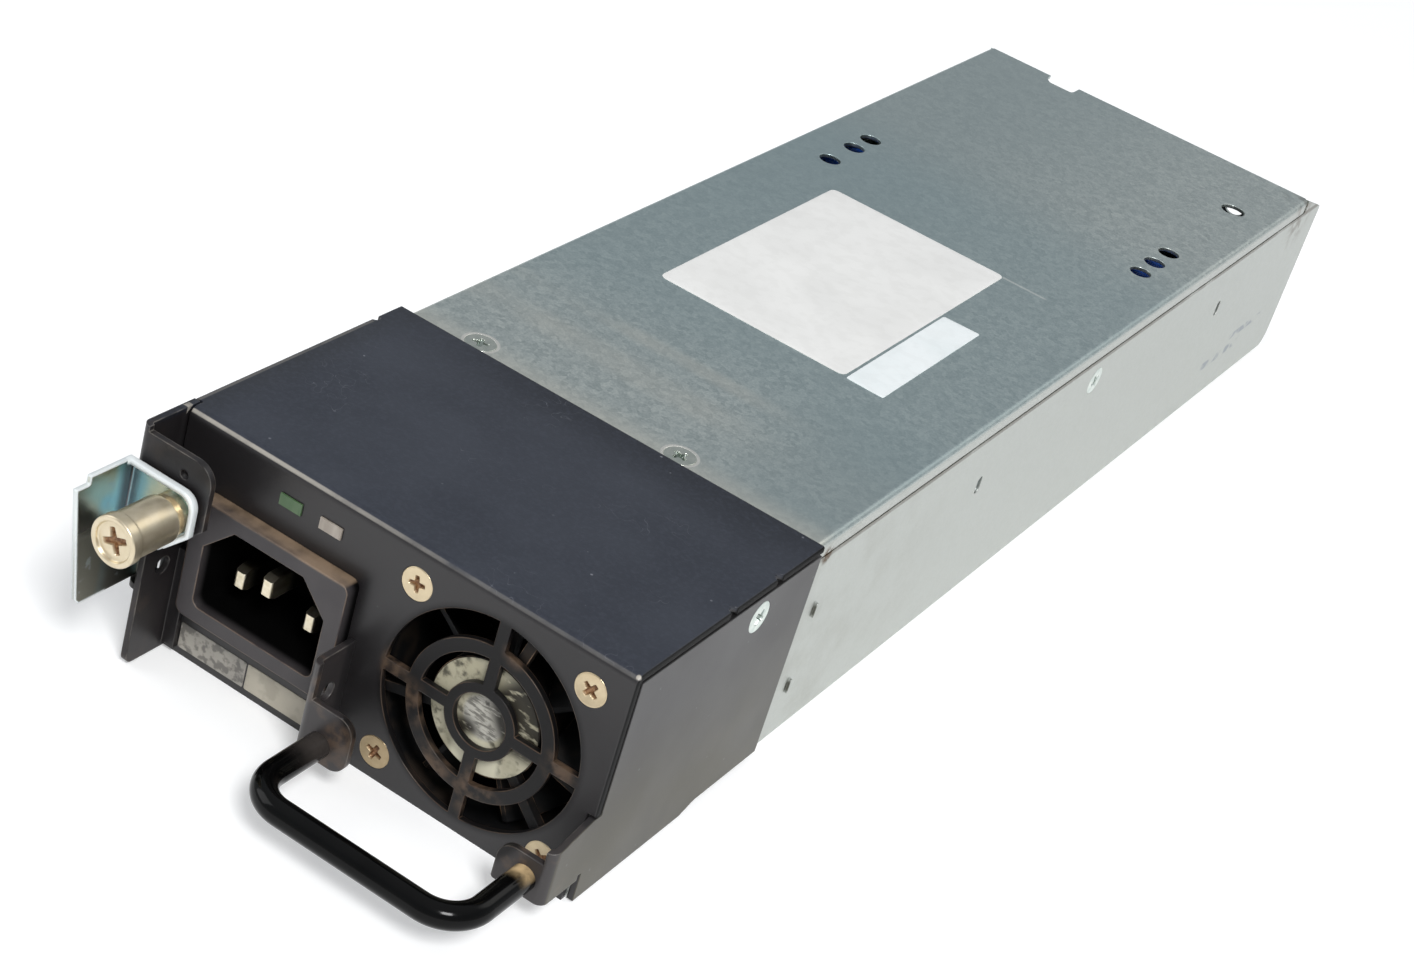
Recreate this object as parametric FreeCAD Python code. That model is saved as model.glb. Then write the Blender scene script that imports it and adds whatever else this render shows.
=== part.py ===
"""Hot-swap switching power supply: a galvanised case with a black front, a fan and an ejector lever.

Frame, in millimetres: +Z up, X to the right seen from the front, Y from the front to the rear.
X = 0 is the middle of the case, Y = 0 the outer surface of the faceplate, Z = 0 the underside.
"""

import FreeCAD, Part
import math
import os

from FreeCAD import Vector as V

# Sheet metal
sheet = 0.8                  # galvanised sheet
sheet_bend = 1.2             # outer bend radius of the galvanised sheet
cover_lip = 2.9              # rolled edge of the top cover, from its top
lip_seam = 0.35              # gap between that edge and the tray's wall
lip_tuck = 3.0               # start of the rolled edge under the front cover
loose = 0.3                  # round pieces to the holes that they pass through
plate = 1.1                  # black front sheet
plate_bend = 1.6             # outer bend radius of the black sheet
plate_edge = 0.4             # rounding of the front cover's side edges
seam = 0.4                   # gap between the front cover and what passes its edges
side_gap = 0.7               # gap below and behind the front cover, to the side plates

# What stands side by side across the front, from right to left
fan_size = 40.0
fan_side_room = 0.9          # fan to the right wall
middle_room = 5.4            # fan to inlet flange
inlet_width = 30.0           # inlet flange
left_room = 6.0              # inlet flange to the left wall
fan_headroom = 0.4           # fan to the top cover

# What follows from front to rear
board_front = 60.0
filter_zone = 46.0
converter_zone = 78.0
bulk_zone = 46.0
output_zone = 48.0
board_to_cover_end = 5.6
tail = 11.5                  # tray beyond the cover
rear_round = 5.0             # lower rear corners of the tray
tail_start = 0.3             # slanted top of the walls' tails below the top of the case, at its front
tail_end = 4.4               # and at its rear
tail_round = 1.2

# Black front
front_depth = 55.0
reach = 9.4                  # brackets in front of the face
side_foot = 0.3              # lower edge of the side plates above the underside
foot_step = 1.2              # rise of that edge towards the rear
foot_step_y = 31.5
foot_step_run = 4.0

# Fan
fan_depth = 28.0
fan_pitch = 0.8 * fan_size
fan_flange = 3.5
fan_corner = 2.5
fan_bore = 0.475 * fan_size
fan_wall = 0.9
fan_hole = 2.15
hub_radius = 0.25 * fan_size
hub_wall = 1.2
hub_plate = 2.0              # rear of the fixed hub disc behind the fan's front
hub_setback = 0.4            # its front behind the grille
hub_gap = 0.6                # fixed hub disc to rotor cup
hub_length = 16.0
strut_width = 1.8
strut_count = 3
bearing_radius = 3.0
shaft_radius = 1.5
shaft_clearance = 0.05
core_gap = 0.8               # motor core to rotor cup
core_length = 9.0
blade_count = 7
blade_length = 15.0
blade_sweep_root = 6.5
blade_sweep_tip = 11.0
blade_camber = 1.3
blade_thick = 0.9
blade_tip_gap = 0.6

# Stamped grille
grille_radius = 0.455 * fan_size
grille_ring_radii = (0.14 * fan_size, 0.311 * fan_size)
grille_ring_widths = (1.7, 2.3)
grille_bar = 2.1             # spokes
grille_spokes = 4

# Countersunk screws
head_radius = 2.85
head_slope = 0.9             # radius lost per millimetre of head depth
screw_shank = 1.5
screw_length = 6.0
recess_length = 3.0
recess_width = 0.6
recess_depth = 0.6
head_clearance = 0.04

# Appliance inlet
inlet_height = 21.8
inlet_lip = 3.0              # flange in front of the face
inlet_corner = 1.6
inlet_body_width = 27.0
inlet_body_height = 19.8
inlet_depth = 21.0           # flange front to the back of the body
socket_width = 24.0
socket_height = 16.4
socket_chamfer = 5.2
socket_corner = 1.5
socket_depth = 16.5
pin_width = 2.0
pin_height = 4.0
pin_pitch = 14.0
pin_drop = 2.2               # line and neutral below the middle
earth_rise = 1.5             # earth above the middle
pin_recess = 4.0
earth_recess = 1.2
pin_taper = 1.5              # length of the tapered tip
pin_tip_height = 2.8
tab_length = 7.0
tab_thick = 0.8

# Status lenses
lens_width = 4.2
lens_height = 2.0
lens_pitch = 7.8
lens_drop = 5.7              # lens middle below the top of the front
lens_proud = 0.3
lens_length = 7.0
lens_lip = 0.6

# Lever bracket, lever and captive screw
recess_width_left = 4.2      # side plate's outer face to the inner bracket
lever_sheet = 0.8
lever_gap = 0.3              # lever to the sheet behind it
lever_drop = 5.4             # lever below the top of the front
lever_height = 13.1          # front plate of the lever
finger_height = 24.3         # finger wall of the lever
lever_width = 13.9
lever_rim = 1.2
lever_bend = 1.2             # rounded back of the rim
lever_rim_end = 1.8          # end of the slanted rim above the plate's lower edge
lever_corner = 3.0
lever_right_edge = 4.3       # straight part of the right edge, above the slanted corner
finger_reach = 22.8          # finger wall in front of the face
finger_foot_reach = 18.7
finger_chamfer = 0.8
finger_step = 1.5
finger_step_length = 2.8
knuckle_radius = 1.6
pin_radius = 0.9
pin_clearance = 0.05
pivot_y = -3.5
ear_gap = 0.3
ear_length = 6.2
nose_reach = 2.2             # cam nose outside the case wall
nose_width = 2.2
nose_height = 5.6
wing_top_drop = 0.9          # flange below the top of the wing
wing_width = 14.6
wing_back = 2.6              # rear end of the wing, behind the face
wing_corner = 3.5
lever_relief = 2.0           # side plate set back behind the face, clear of the cam nose
pilot_radius = 0.8
pilot_rise = 6.5             # pilot hole above the captive screw
foot_width = 3.5
foot_top = 19.5
foot_bottom = 1.2
clip_radius = 1.6
clip_setback = 4.7           # cord-clip holes in front of the face
clip_height_left = 17.6
clip_height_right = 14.0
screw_from_edge = 9.4        # captive screw from the lever's outer face
screw_drop = 5.4             # captive screw below the lever's top
knob_rim_radius = 4.25
knob_rim = 2.3
knob_pocket = 0.6
knob_front = 23.8            # knob's front before the face
knob_travel = 1.2
knob_wall = 1.0
knob_base = 2.0
ferrule_radius = 2.6
ferrule_flange_radius = 3.4
captive_shank = 1.3

# Handle
handle_radius = 2.2
handle_height = 8.2
handle_reach = 26.2          # grip's axis before the face
handle_bend = 6.5
handle_peg = 1.4
handle_rivet = 2.1
handle_rivet_head = 0.8
bracket_gap = 0.5            # inlet flange to the handle bracket
bracket_arm = 4.5            # bracket's left face to the handle's left arm
bracket_flange = 10.0
bracket_top = 21.5
bracket_foot = 5.1
bracket_flange_top = 15.0
bracket_corner = 3.0
tab_top_back = 16.7
tab_top_front = 14.6
tab_foot = 4.9
tab_flange = 9.4
tab_flange_top = 12.2
tab_arm = 4.2                # side plate's outer face to the handle's right arm
relief_width = 0.9
relief_height = 5.9

# Holes and marks of the case
cover_screw_behind = 4.0     # behind the front cover
cover_screw_from_left = 13.4
cover_screw_from_right = 29.3
brace_width = 12.0
brace_leg = 10.0
vent_radius = 2.3
vent_from_left = 10.1
vent_from_right = 9.3
vent_steps_left = (-9.1, 1.4, 8.7)   # from the axis of the capacitor below
vent_steps_right = (-9.1, -1.7, 5.9)
tool_hole_radius = 2.7
tool_hole_from_side = 9.2
tool_hole_from_end = 25.0
notch_width = 7.6
notch_depth = 4.5
notch_round_left = 3.6
notch_round_right = 1.6
notch_from_left = 20.2
cover_corner = 1.5
side_screw_behind = 26.0     # behind the middle of the heatsinks
front_screw_y = 37.3
front_screw_drop = 4.8       # below the top of the case
side_slot_ys = (123.7, 241.0)
side_slot_z = 27.4
side_slot_width = 2.0
side_slot_height = 3.6
bump_from_front = 7.2        # half-moon stops behind the side plates
bump_zs = (11.1, 26.8)
bump_radius = 1.4
bump_height = 0.45
edge_notch_right_ys = (27.0, 41.0)
edge_notch_left_y = 48.0
edge_notch_radius = 1.0

# Boards and components
film = 0.4
film_margin = 1.4            # boards and film to the side walls
board_height = 6.0           # board's underside above the underside of the case
board = 1.6
standoff_radius = 2.5
standoff_inset = 5.0
board_screw_radius = 2.8
board_screw_head = 1.8
component_clearance = 3.0    # tall components to the top cover
bulk_radius = 12.5
bulk_groove = 0.6
bulk_groove_rise = 3.0
sink_base = 3.0
sink_fin = 1.4
sink_fin_depth = 8.0
sink_fin_count = 5
sink_length = 72.0
sink_clearance = 3.7         # heatsinks to the top cover
sink_foot = 1.0              # heatsinks above the board
transistor_width = 15.0
transistor_height = 19.0
transistor_thick = 4.6
transistor_rise = 6.0
transistor_count = 3
transistor_pitch = 22.0
leg_thick = 0.9
leg_pitch = 5.0
choke_radius = 16.0
choke_core_radius = 12.5
choke_hole_radius = 5.0
choke_core_hole = 8.0
choke_height = 17.0
choke_core_height = 12.0
filter_choke_radius = 15.0
filter_choke_hole = 5.0
filter_choke_height = 11.0
filter_choke_ease = 2.5
filter_choke_setback = 5.5
box_cap_length = 26.0
box_cap_width = 13.0
box_cap_height = 20.0
box_cap_round = 1.2
bridge_width = 26.0
bridge_height = 18.0
bridge_thick = 4.6
bridge_rise = 5.0
core_length_e = 34.0
core_width_e = 34.0
core_height_e = 24.0
core_leg = 7.0
core_yoke = 6.0
winding_wall = 0.6
output_cap_radius = 5.0
output_cap_height = 17.0
output_cap_pitch = 12.0
output_cap_count = 4
control_length = 34.0
control_height = 24.0
control_thick = 1.2
chip_size = 7.0
chip_thick = 1.6
connector_width = 46.0
connector_height = 14.0
connector_depth = 24.0
connector_stand = 1.5        # connector short of the tray's rear end
contact_count = 9
contact_pitch = 4.8
contact_slot = 2.4
contact_height = 8.0
contact_thick = 0.9
contact_recess = 2.0
rear_hole_radius = 2.5
rear_hole_pitch = 6.05
rear_rows = 2
rear_columns = 10
lead_radius = 1.3
lead_bend = 7.0
fan_lead_radius = 0.9
fan_lead_rise = 12.0

# Places that follow from the sizes
case_height = 2 * sheet + fan_size + fan_headroom
case_width = 2 * sheet + left_room + inlet_width + middle_room + fan_size + fan_side_room
half = case_width / 2
wall = half - sheet
side = half + plate
ceiling = case_height - sheet
wall_top = case_height - cover_lip - lip_seam
screw_hole = screw_shank + loose
top = case_height + plate
lever_top = top - lever_drop
lever_split = lever_top - lever_height
lever_low = lever_top - finger_height
lens_z = top - lens_drop
front_screw_z = case_height - front_screw_drop
plate_top = case_height - side_gap
plate_front = plate + side_gap
lip_start = front_depth - lip_tuck
cover_screw_y = front_depth + cover_screw_behind
converter_y = board_front + filter_zone
bulk_y = converter_y + converter_zone
output_y = bulk_y + bulk_zone
board_rear = output_y + output_zone
cover_length = board_rear + board_to_cover_end
case_length = cover_length + tail
fan_x = wall - fan_side_room - fan_size / 2
fan_z = sheet + fan_size / 2
fan_back = plate + fan_depth
inlet_x = fan_x - fan_size / 2 - middle_room - inlet_width / 2
inlet_z = fan_z
socket_floor = socket_depth - inlet_lip
inlet_back = inlet_depth - inlet_lip
bracket_x = inlet_x + inlet_width / 2 + bracket_gap
inner_x = recess_width_left - side
pivot_x = knuckle_radius - side
lever_back = -reach - lever_gap
wing_low = lever_split + 2 * lever_gap
ear_top = lever_split - ear_gap
knuckle_top = ear_top - plate - ear_gap
lever_front = lever_back - lever_sheet
captive_x = screw_from_edge - side
captive_z = lever_top - screw_drop
handle_left = bracket_x + bracket_arm
handle_right = side - tab_arm
board_top = board_height + board
component_top = ceiling - component_clearance
sink_y = (converter_y + bulk_y) / 2
side_screw_y = sink_y + side_screw_behind
sink_low = board_top + sink_foot
sink_high = ceiling - sink_clearance
sink_pitch = (sink_high - sink_low - sink_fin) / (sink_fin_count - 1)
side_screw_z = sink_high - (sink_pitch + sink_fin) / 2
choke_y = converter_y + film_margin + choke_radius
transformer_front = bulk_y - film_margin - core_length_e
bulk_left = V(bulk_radius + film_margin - wall, bulk_y + bulk_radius, board_top)
bulk_right = V(wall - film_margin - bulk_radius, output_y - bulk_radius - film_margin, board_top)
bulk_middle = V((bulk_left.x + bulk_right.x) / 2, (bulk_left.y + bulk_right.y) / 2, board_top)
rear_y = cover_length - board_to_cover_end / 2
spin_axis = V(0, 1, 0)

PLANES = {
    "yz": (V(1, 0, 0), lambda u, v, w: V(w, u, v)),
    "xz": (V(0, 1, 0), lambda u, v, w: V(u, w, v)),
    "xy": (V(0, 0, 1), lambda u, v, w: V(u, v, w)),
}


def tangent_path(points, bends, closed):
    """Edges through points, with each corner replaced by a tangent arc of its bend radius."""
    count = len(points)
    spans = []
    for i, here in enumerate(points):
        if bends[i] == 0 or (not closed and i in (0, count - 1)):
            spans.append((here, None, here))
            continue
        back = (points[i - 1] - here).normalize()
        ahead = (points[(i + 1) % count] - here).normalize()
        half_angle = back.getAngle(ahead) / 2
        run = bends[i] / math.tan(half_angle)
        inward = (back + ahead).normalize()
        crown = here + inward * (bends[i] / math.sin(half_angle) - bends[i])
        spans.append((here + back * run, crown, here + ahead * run))
    edges = []
    for i, (start, crown, end) in enumerate(spans):
        if crown:
            edges.append(Part.Arc(start, crown, end).toShape())
        if closed or i < count - 1:
            following = spans[(i + 1) % count][0]
            if end.distanceToPoint(following) > 1e-6:
                edges.append(Part.LineSegment(end, following).toShape())
    return Part.Wire(edges)


def slab(corners, plane, low, high):
    """Plate whose outline has corners (u, v) or (u, v, radius), from low to high across its plane."""
    normal, place = PLANES[plane]
    points = [place(c[0], c[1], low) for c in corners]
    bends = [c[2] if len(c) > 2 else 0 for c in corners]
    return Part.Face(tangent_path(points, bends, True)).extrude(normal * (high - low))


def block(x0, x1, y0, y1, z0, z1):
    return Part.makeBox(x1 - x0, y1 - y0, z1 - z0, V(x0, y0, z0))


def post(base, axis, radius, length):
    return Part.makeCylinder(radius, length, base, axis)


def tube_along(points, bend, radius):
    """Round rod that follows straight runs joined by arcs of one bend radius."""
    spine = tangent_path(points, [bend] * len(points), False)
    start = (points[1] - points[0]).normalize()
    ring = Part.Wire([Part.Circle(points[0], start, radius).toShape()])
    return spine.makePipeShell([ring], True, True)


def fused(shapes):
    return shapes[0].multiFuse(shapes[1:]).removeSplitter()


def mirrored(shape):
    return shape.mirror(V(0, 0, 0), V(1, 0, 0))


def pointed(shape, at, inward):
    """Places a shape built along +Z from the origin, so that +Z becomes the inward direction."""
    placed = shape.copy()
    placed.Placement = FreeCAD.Placement(at, FreeCAD.Rotation(V(0, 0, 1), inward))
    return placed


def countersink(depth, clearance=0.0):
    """Cone that a flat screw head fills, with its wide end at the origin."""
    wide = head_radius + clearance
    return Part.makeCone(wide, wide - head_slope * depth, depth)


def flat_head_screw(depth):
    """Countersunk screw along +Z with a cross recess; depth is the sheet that its head sits in."""
    head = Part.makeCone(head_radius, head_radius - head_slope * depth, depth)
    shank = post(V(0, 0, 0), V(0, 0, 1), screw_shank, screw_length)
    slot = block(-recess_length / 2, recess_length / 2, -recess_width / 2, recess_width / 2, 0, recess_depth)
    crossed = slot.copy()
    crossed.rotate(V(0, 0, 0), V(0, 0, 1), 90)
    return head.fuse(shank).cut(slot.fuse(crossed))


def fan_corners():
    offset = fan_pitch / 2
    return [V(fan_x + sx * offset, 0, fan_z + sz * offset) for sx in (-1, 1) for sz in (-1, 1)]


def side_screw_seats():
    """Outer face, inward direction and sheet thickness of each screw in the side walls."""
    seats = []
    for sign in (-1, 1):
        inward = V(-sign, 0, 0)
        seats.append((V(sign * half, side_screw_y, side_screw_z), inward, sheet))
        seats.append((V(sign * side, front_screw_y, front_screw_z), inward, plate))
    return seats


def cover_screw_points():
    return [V(cover_screw_from_left - half, cover_screw_y, case_height),
            V(half - cover_screw_from_right, cover_screw_y, case_height)]


def standoff_points():
    xs = (standoff_inset + film_margin - wall, wall - film_margin - standoff_inset)
    ys = (board_front + standoff_inset, board_rear - standoff_inset)
    between = V(0, (choke_y + choke_radius + transformer_front) / 2, sheet)
    return [V(x, y, sheet) for x in xs for y in ys] + [between]


def base_tray():
    """Floor and two walls bent from one sheet; behind the cover the walls rise and slant to the rear."""
    inner_bend = sheet_bend - sheet
    rise = case_height
    section = [(-half, 0, sheet_bend), (half, 0, sheet_bend), (half, rise), (wall, rise),
               (wall, sheet, inner_bend), (-wall, sheet, inner_bend), (-wall, rise), (-half, rise)]
    shape = slab(section, "xz", plate, case_length)
    behind = cover_length + lip_seam
    profile = [(plate, 0), (case_length, 0, rear_round), (case_length, rise - tail_end, tail_round),
               (behind, rise - tail_start), (behind, wall_top), (lip_start, wall_top),
               (lip_start, ceiling), (plate, ceiling)]
    shape = shape.common(slab(profile, "yz", -half, half))
    cuts = []
    bumps = []
    for sign in (-1, 1):
        for y in side_slot_ys:
            u, v, r = side_slot_width / 2, side_slot_height / 2, side_slot_width / 2 - 0.05
            outline = [(y - u, side_slot_z - v, r), (y + u, side_slot_z - v, r),
                       (y + u, side_slot_z + v, r), (y - u, side_slot_z + v, r)]
            low = min(sign * wall, sign * half)
            cuts.append(slab(outline, "yz", low - sheet, low + 2 * sheet))
        for z in bump_zs:
            y = front_depth + bump_from_front
            disc = post(V(sign * half, y, z), V(sign, 0, 0), bump_radius, bump_height)
            bumps.append(disc.common(block(-side, side, y, y + bump_radius, 0, case_height)))
    for at, inward, depth in side_screw_seats():
        if depth == sheet:
            cuts.append(pointed(countersink(depth, head_clearance), at, inward))
        cuts.append(post(at, inward, screw_hole, plate + 2 * sheet))
    return fused([shape] + bumps).cut(Part.makeCompound(cuts))


def top_cover():
    """Lid with rolled side edges: vent rows, a tool hole, countersinks and a rounded rear notch."""
    front = plate + plate_bend
    rolled = lip_start + lip_seam
    lip = case_height - cover_lip
    inner_bend = sheet_bend - sheet
    section = [(-half, lip), (-half, case_height, sheet_bend), (half, case_height, sheet_bend), (half, lip),
               (wall, lip), (wall, ceiling, inner_bend), (-wall, ceiling, inner_bend), (-wall, lip)]
    outline = [(-half, front), (half, front), (half, cover_length, cover_corner),
               (-half, cover_length, cover_corner)]
    shape = slab(section, "xz", rolled, cover_length).common(slab(outline, "xy", lip, case_height))
    shape = fused([shape, block(-half, half, front, rolled, ceiling, case_height)])
    cuts = []
    rows = ((vent_from_left - half, bulk_left.y, vent_steps_left),
            (half - vent_from_right, bulk_right.y, vent_steps_right))
    for x, middle, steps in rows:
        for step in steps:
            cuts.append(post(V(x, middle + step, ceiling), V(0, 0, 1), vent_radius, sheet))
    hole = V(half - tool_hole_from_side, cover_length - tool_hole_from_end, ceiling)
    cuts.append(post(hole, V(0, 0, 1), tool_hole_radius, sheet))
    left = notch_from_left - half - notch_width / 2
    deep = cover_length - notch_depth
    right = left + notch_width
    notch = [(left, cover_length + notch_depth), (left, deep, notch_round_left),
             (right, deep, notch_round_right), (right, cover_length + notch_depth)]
    cuts.append(slab(notch, "xy", ceiling, case_height))
    for at in cover_screw_points():
        cuts.append(pointed(countersink(sheet, head_clearance), at, V(0, 0, -1)))
    return shape.cut(Part.makeCompound(cuts))


def cover_brace():
    """Bridge across the walls that the two cover screws pull on."""
    inner_bend = sheet_bend - sheet
    foot = ceiling - brace_leg
    section = [(-wall, foot), (-wall, ceiling, sheet_bend), (wall, ceiling, sheet_bend), (wall, foot),
               (wall - sheet, foot), (wall - sheet, ceiling - sheet, inner_bend),
               (sheet - wall, ceiling - sheet, inner_bend), (sheet - wall, foot)]
    shape = slab(section, "xz", cover_screw_y - brace_width / 2, cover_screw_y + brace_width / 2)
    holes = [post(at, V(0, 0, -1), screw_hole, 3 * sheet) for at in cover_screw_points()]
    return shape.cut(Part.makeCompound(holes))


def rear_panel():
    """Air outlet: rows of round holes above the opening for the output connector."""
    outline = [(-wall, sheet, sheet_bend), (wall, sheet, sheet_bend), (wall, ceiling, sheet_bend),
               (-wall, ceiling, sheet_bend)]
    shape = slab(outline, "xz", rear_y, rear_y + sheet)
    cuts = [block(-connector_width / 2, connector_width / 2, rear_y, rear_y + sheet,
                  board_top, board_top + connector_height)]
    low = (board_top + connector_height + ceiling - (rear_rows - 1) * rear_hole_pitch) / 2
    for row in range(rear_rows):
        for column in range(rear_columns):
            x = (column - (rear_columns - 1) / 2) * rear_hole_pitch
            at = V(x, rear_y, low + row * rear_hole_pitch)
            cuts.append(post(at, spin_axis, rear_hole_radius, sheet))
    return shape.cut(Part.makeCompound(cuts))


def grille_openings():
    """What the punch removes: the round window less its rings and spokes, as one tool across the face."""
    def disc(radius):
        return post(V(fan_x, -plate, fan_z), spin_axis, radius, 3 * plate)
    window = disc(grille_radius)
    bars = []
    for radius, width in zip(grille_ring_radii, grille_ring_widths):
        bars.append(disc(radius + width / 2).cut(disc(radius - width / 2)))
    inner = grille_ring_radii[0]
    for k in range(grille_spokes):
        spoke = block(fan_x + inner, fan_x + fan_size / 2, -plate, 2 * plate,
                      fan_z - grille_bar / 2, fan_z + grille_bar / 2)
        spoke.rotate(V(fan_x, 0, fan_z), spin_axis, k * 360 / grille_spokes)
        bars.append(spoke)
    return window.cut(fused(bars))


def lens_points():
    return [V(inlet_x + k * lens_pitch, 0, lens_z) for k in (0, 1)]


def outer_side_edges(shape):
    """Outer profile edges at both ends of the front cover: face, bend and top."""
    found = []
    for edge in shape.Edges:
        box = edge.BoundBox
        on_face = box.YMax < 1e-6
        on_top = box.ZMin > top - 1e-6
        on_bend = abs(getattr(edge.Curve, "Radius", 0) - plate_bend) < 1e-6
        if box.XLength < 1e-6 and (on_face or on_top or on_bend):
            found.append(edge)
    return found


def front_cover():
    """Faceplate and top in one bent sheet, with every opening of the face and room for tab and wing."""
    section = [(0, 0), (0, top, plate_bend), (front_depth, top), (front_depth, case_height),
               (plate, case_height, plate_bend - plate), (plate, 0)]
    shape = slab(section, "yz", -side, side)
    shape = shape.makeFillet(plate_edge, outer_side_edges(shape))
    inside = half - seam
    cuts = [grille_openings(),
            block(inside, side, 0, plate, 0, tab_top_back + seam),
            block(-side, -inside, 0, wing_back + seam, wing_low - seam, top),
            block(-side, -inside, 0, plate, 0, wing_low),
            block(inlet_x - inlet_body_width / 2, inlet_x + inlet_body_width / 2, 0, plate,
                  inlet_z - inlet_body_height / 2, inlet_z + inlet_body_height / 2)]
    for at in lens_points():
        cuts.append(block(at.x - lens_width / 2, at.x + lens_width / 2, 0, plate,
                          at.z - lens_height / 2, at.z + lens_height / 2))
    for at in fan_corners():
        cuts.append(pointed(countersink(plate, head_clearance), at, spin_axis))
    notches = [V(side, y, case_height) for y in edge_notch_right_ys]
    notches.append(V(-side, edge_notch_left_y, case_height))
    for at in notches:
        cuts.append(post(at, V(0, 0, 1), edge_notch_radius, plate))
    return shape.cut(Part.makeCompound(cuts))


def right_side_plate():
    """Side of the front, with a forward tab that turns in to hold the handle."""
    front = [(plate_front, plate_top), (plate_front, tab_top_back), (relief_width, tab_top_back),
             (relief_width, side_foot)]
    shape = slab(front + plate_foot(), "yz", half, side)
    inner_bend = plate_bend - plate
    flange_left = side - tab_flange
    angle = [(half, plate_front), (half, plate - reach, inner_bend), (flange_left, plate - reach),
             (flange_left, -reach), (side, -reach, plate_bend), (side, plate_front)]
    bent = slab(angle, "xy", 0, top)
    slope = [(-reach, tab_foot), (0, tab_foot), (0, relief_height), (plate_front, relief_height),
             (plate_front, tab_top_back), (0, tab_top_back), (-reach, tab_top_front)]
    ear = [(flange_left, tab_foot, inner_bend), (half, tab_foot), (half, tab_flange_top),
           (flange_left, tab_flange_top, bracket_corner)]
    tab = bent.common(slab(slope, "yz", half - inner_bend, side))
    flange = bent.common(slab(ear, "xz", -reach, 0))
    peg_hole = post(V(handle_right, -reach, handle_height), spin_axis, handle_peg + loose, plate)
    return fused([shape, tab, flange]).cut(peg_hole).cut(side_plate_screw_hole(1))


def plate_foot():
    """Lower, rear and upper edge of a side plate, with the stepped lower edge."""
    return [(foot_step_y, side_foot, foot_step_run), (foot_step_y + foot_step_run, side_foot + foot_step,
                                                      foot_step_run),
            (front_depth, side_foot + foot_step), (front_depth, plate_top)]


def side_plate_screw_hole(sign):
    at = V(sign * side, front_screw_y, front_screw_z)
    return pointed(countersink(plate, head_clearance), at, V(-sign, 0, 0))


def wing_outline():
    """Flange behind the lever: rounded upper corner, slanted lower corner that clears a plug."""
    right = wing_width - side
    slant = lever_width - (lever_top - lever_corner - lever_right_edge - wing_low)
    start = slant - side
    high = top - wing_top_drop
    return [(-side, wing_low), (start, wing_low), (right, wing_low + right - start),
            (right, high, wing_corner), (-side, high)]


def left_side_plate():
    """Side of the front, with a wing that stands forward and turns in behind the lever."""
    front = [(lever_relief, plate_top), (lever_relief, side_foot)]
    shape = slab(front + plate_foot(), "yz", -side, -half)
    inner_bend = plate_bend - plate
    right = wing_width - side
    angle = [(-half, wing_back), (-half, plate - reach, inner_bend), (right, plate - reach),
             (right, -reach), (-side, -reach, plate_bend), (-side, wing_back)]
    bent = slab(angle, "xy", wing_low, top)
    wing = bent.common(block(-side, inner_bend - half, -reach, wing_back, wing_low, top))
    flange = bent.common(slab(wing_outline(), "xz", -reach, plate - reach))
    holes = [post(V(captive_x, -reach, captive_z), spin_axis, captive_shank + loose, plate),
             post(V(captive_x, -reach, captive_z + pilot_rise), spin_axis, pilot_radius, plate)]
    shape = fused([shape, wing, flange]).cut(Part.makeCompound(holes))
    return shape.cut(side_plate_screw_hole(-1))


def lever_bracket():
    """Bracket set in from the side: two ears for the lever's pin, a foot on the face, a cord-clip hole."""
    parts = [slab([(-reach, side_foot, inlet_corner), (0, side_foot), (0, ear_top), (-reach, ear_top)],
                  "yz", inner_x, inner_x + plate)]
    parts.append(block(inner_x, inner_x + foot_width, -plate, 0, foot_bottom, foot_top))
    front = pivot_y - ear_length / 2
    ear = [(inner_x + plate, front), (inner_x + plate, front + ear_length),
           (-side + seam, front + ear_length, knuckle_radius), (-side + seam, front, knuckle_radius)]
    for low in (lever_low - ear_gap - plate, ear_top - plate):
        parts.append(slab(ear, "xy", low, low + plate))
    bore = post(V(pivot_x, pivot_y, 0), V(0, 0, 1), pin_radius + pin_clearance, case_height)
    clip = post(V(inner_x, -clip_setback, clip_height_left), V(1, 0, 0), clip_radius, plate)
    return fused(parts).cut(bore).cut(clip)


def handle_bracket():
    """Plate beside the inlet with a cord-clip hole, turned in at the front to hold the handle."""
    inner_bend = plate_bend - plate
    right = bracket_x + bracket_flange
    angle = [(bracket_x, 0), (bracket_x, -reach, plate_bend), (right, -reach), (right, plate - reach),
             (bracket_x + plate, plate - reach, inner_bend), (bracket_x + plate, 0)]
    bent = slab(angle, "xy", bracket_foot, bracket_top)
    web = bent.common(block(bracket_x, bracket_x + plate + inner_bend, -reach, 0, bracket_foot, bracket_top))
    ear = [(bracket_x, bracket_foot), (right, bracket_foot, bracket_corner),
           (right, bracket_flange_top, bracket_corner), (bracket_x, bracket_flange_top)]
    flange = bent.common(slab(ear, "xz", -reach, plate - reach))
    holes = [post(V(handle_left, -reach, handle_height), spin_axis, handle_peg + loose, plate),
             post(V(bracket_x, -clip_setback, clip_height_right), V(1, 0, 0), clip_radius, plate)]
    return fused([web, flange]).cut(Part.makeCompound(holes))


def handle():
    """Bent rod with a stepped peg at each end, headed over behind its flange."""
    points = [V(handle_left, -reach, handle_height), V(handle_left, -handle_reach, handle_height),
              V(handle_right, -handle_reach, handle_height), V(handle_right, -reach, handle_height)]
    parts = [tube_along(points, handle_bend, handle_radius)]
    for x in (handle_left, handle_right):
        parts.append(post(V(x, -reach - 1, handle_height), spin_axis, handle_peg, plate + 1))
        parts.append(post(V(x, plate - reach, handle_height), spin_axis, handle_rivet, handle_rivet_head))
    return fused(parts)


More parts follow.
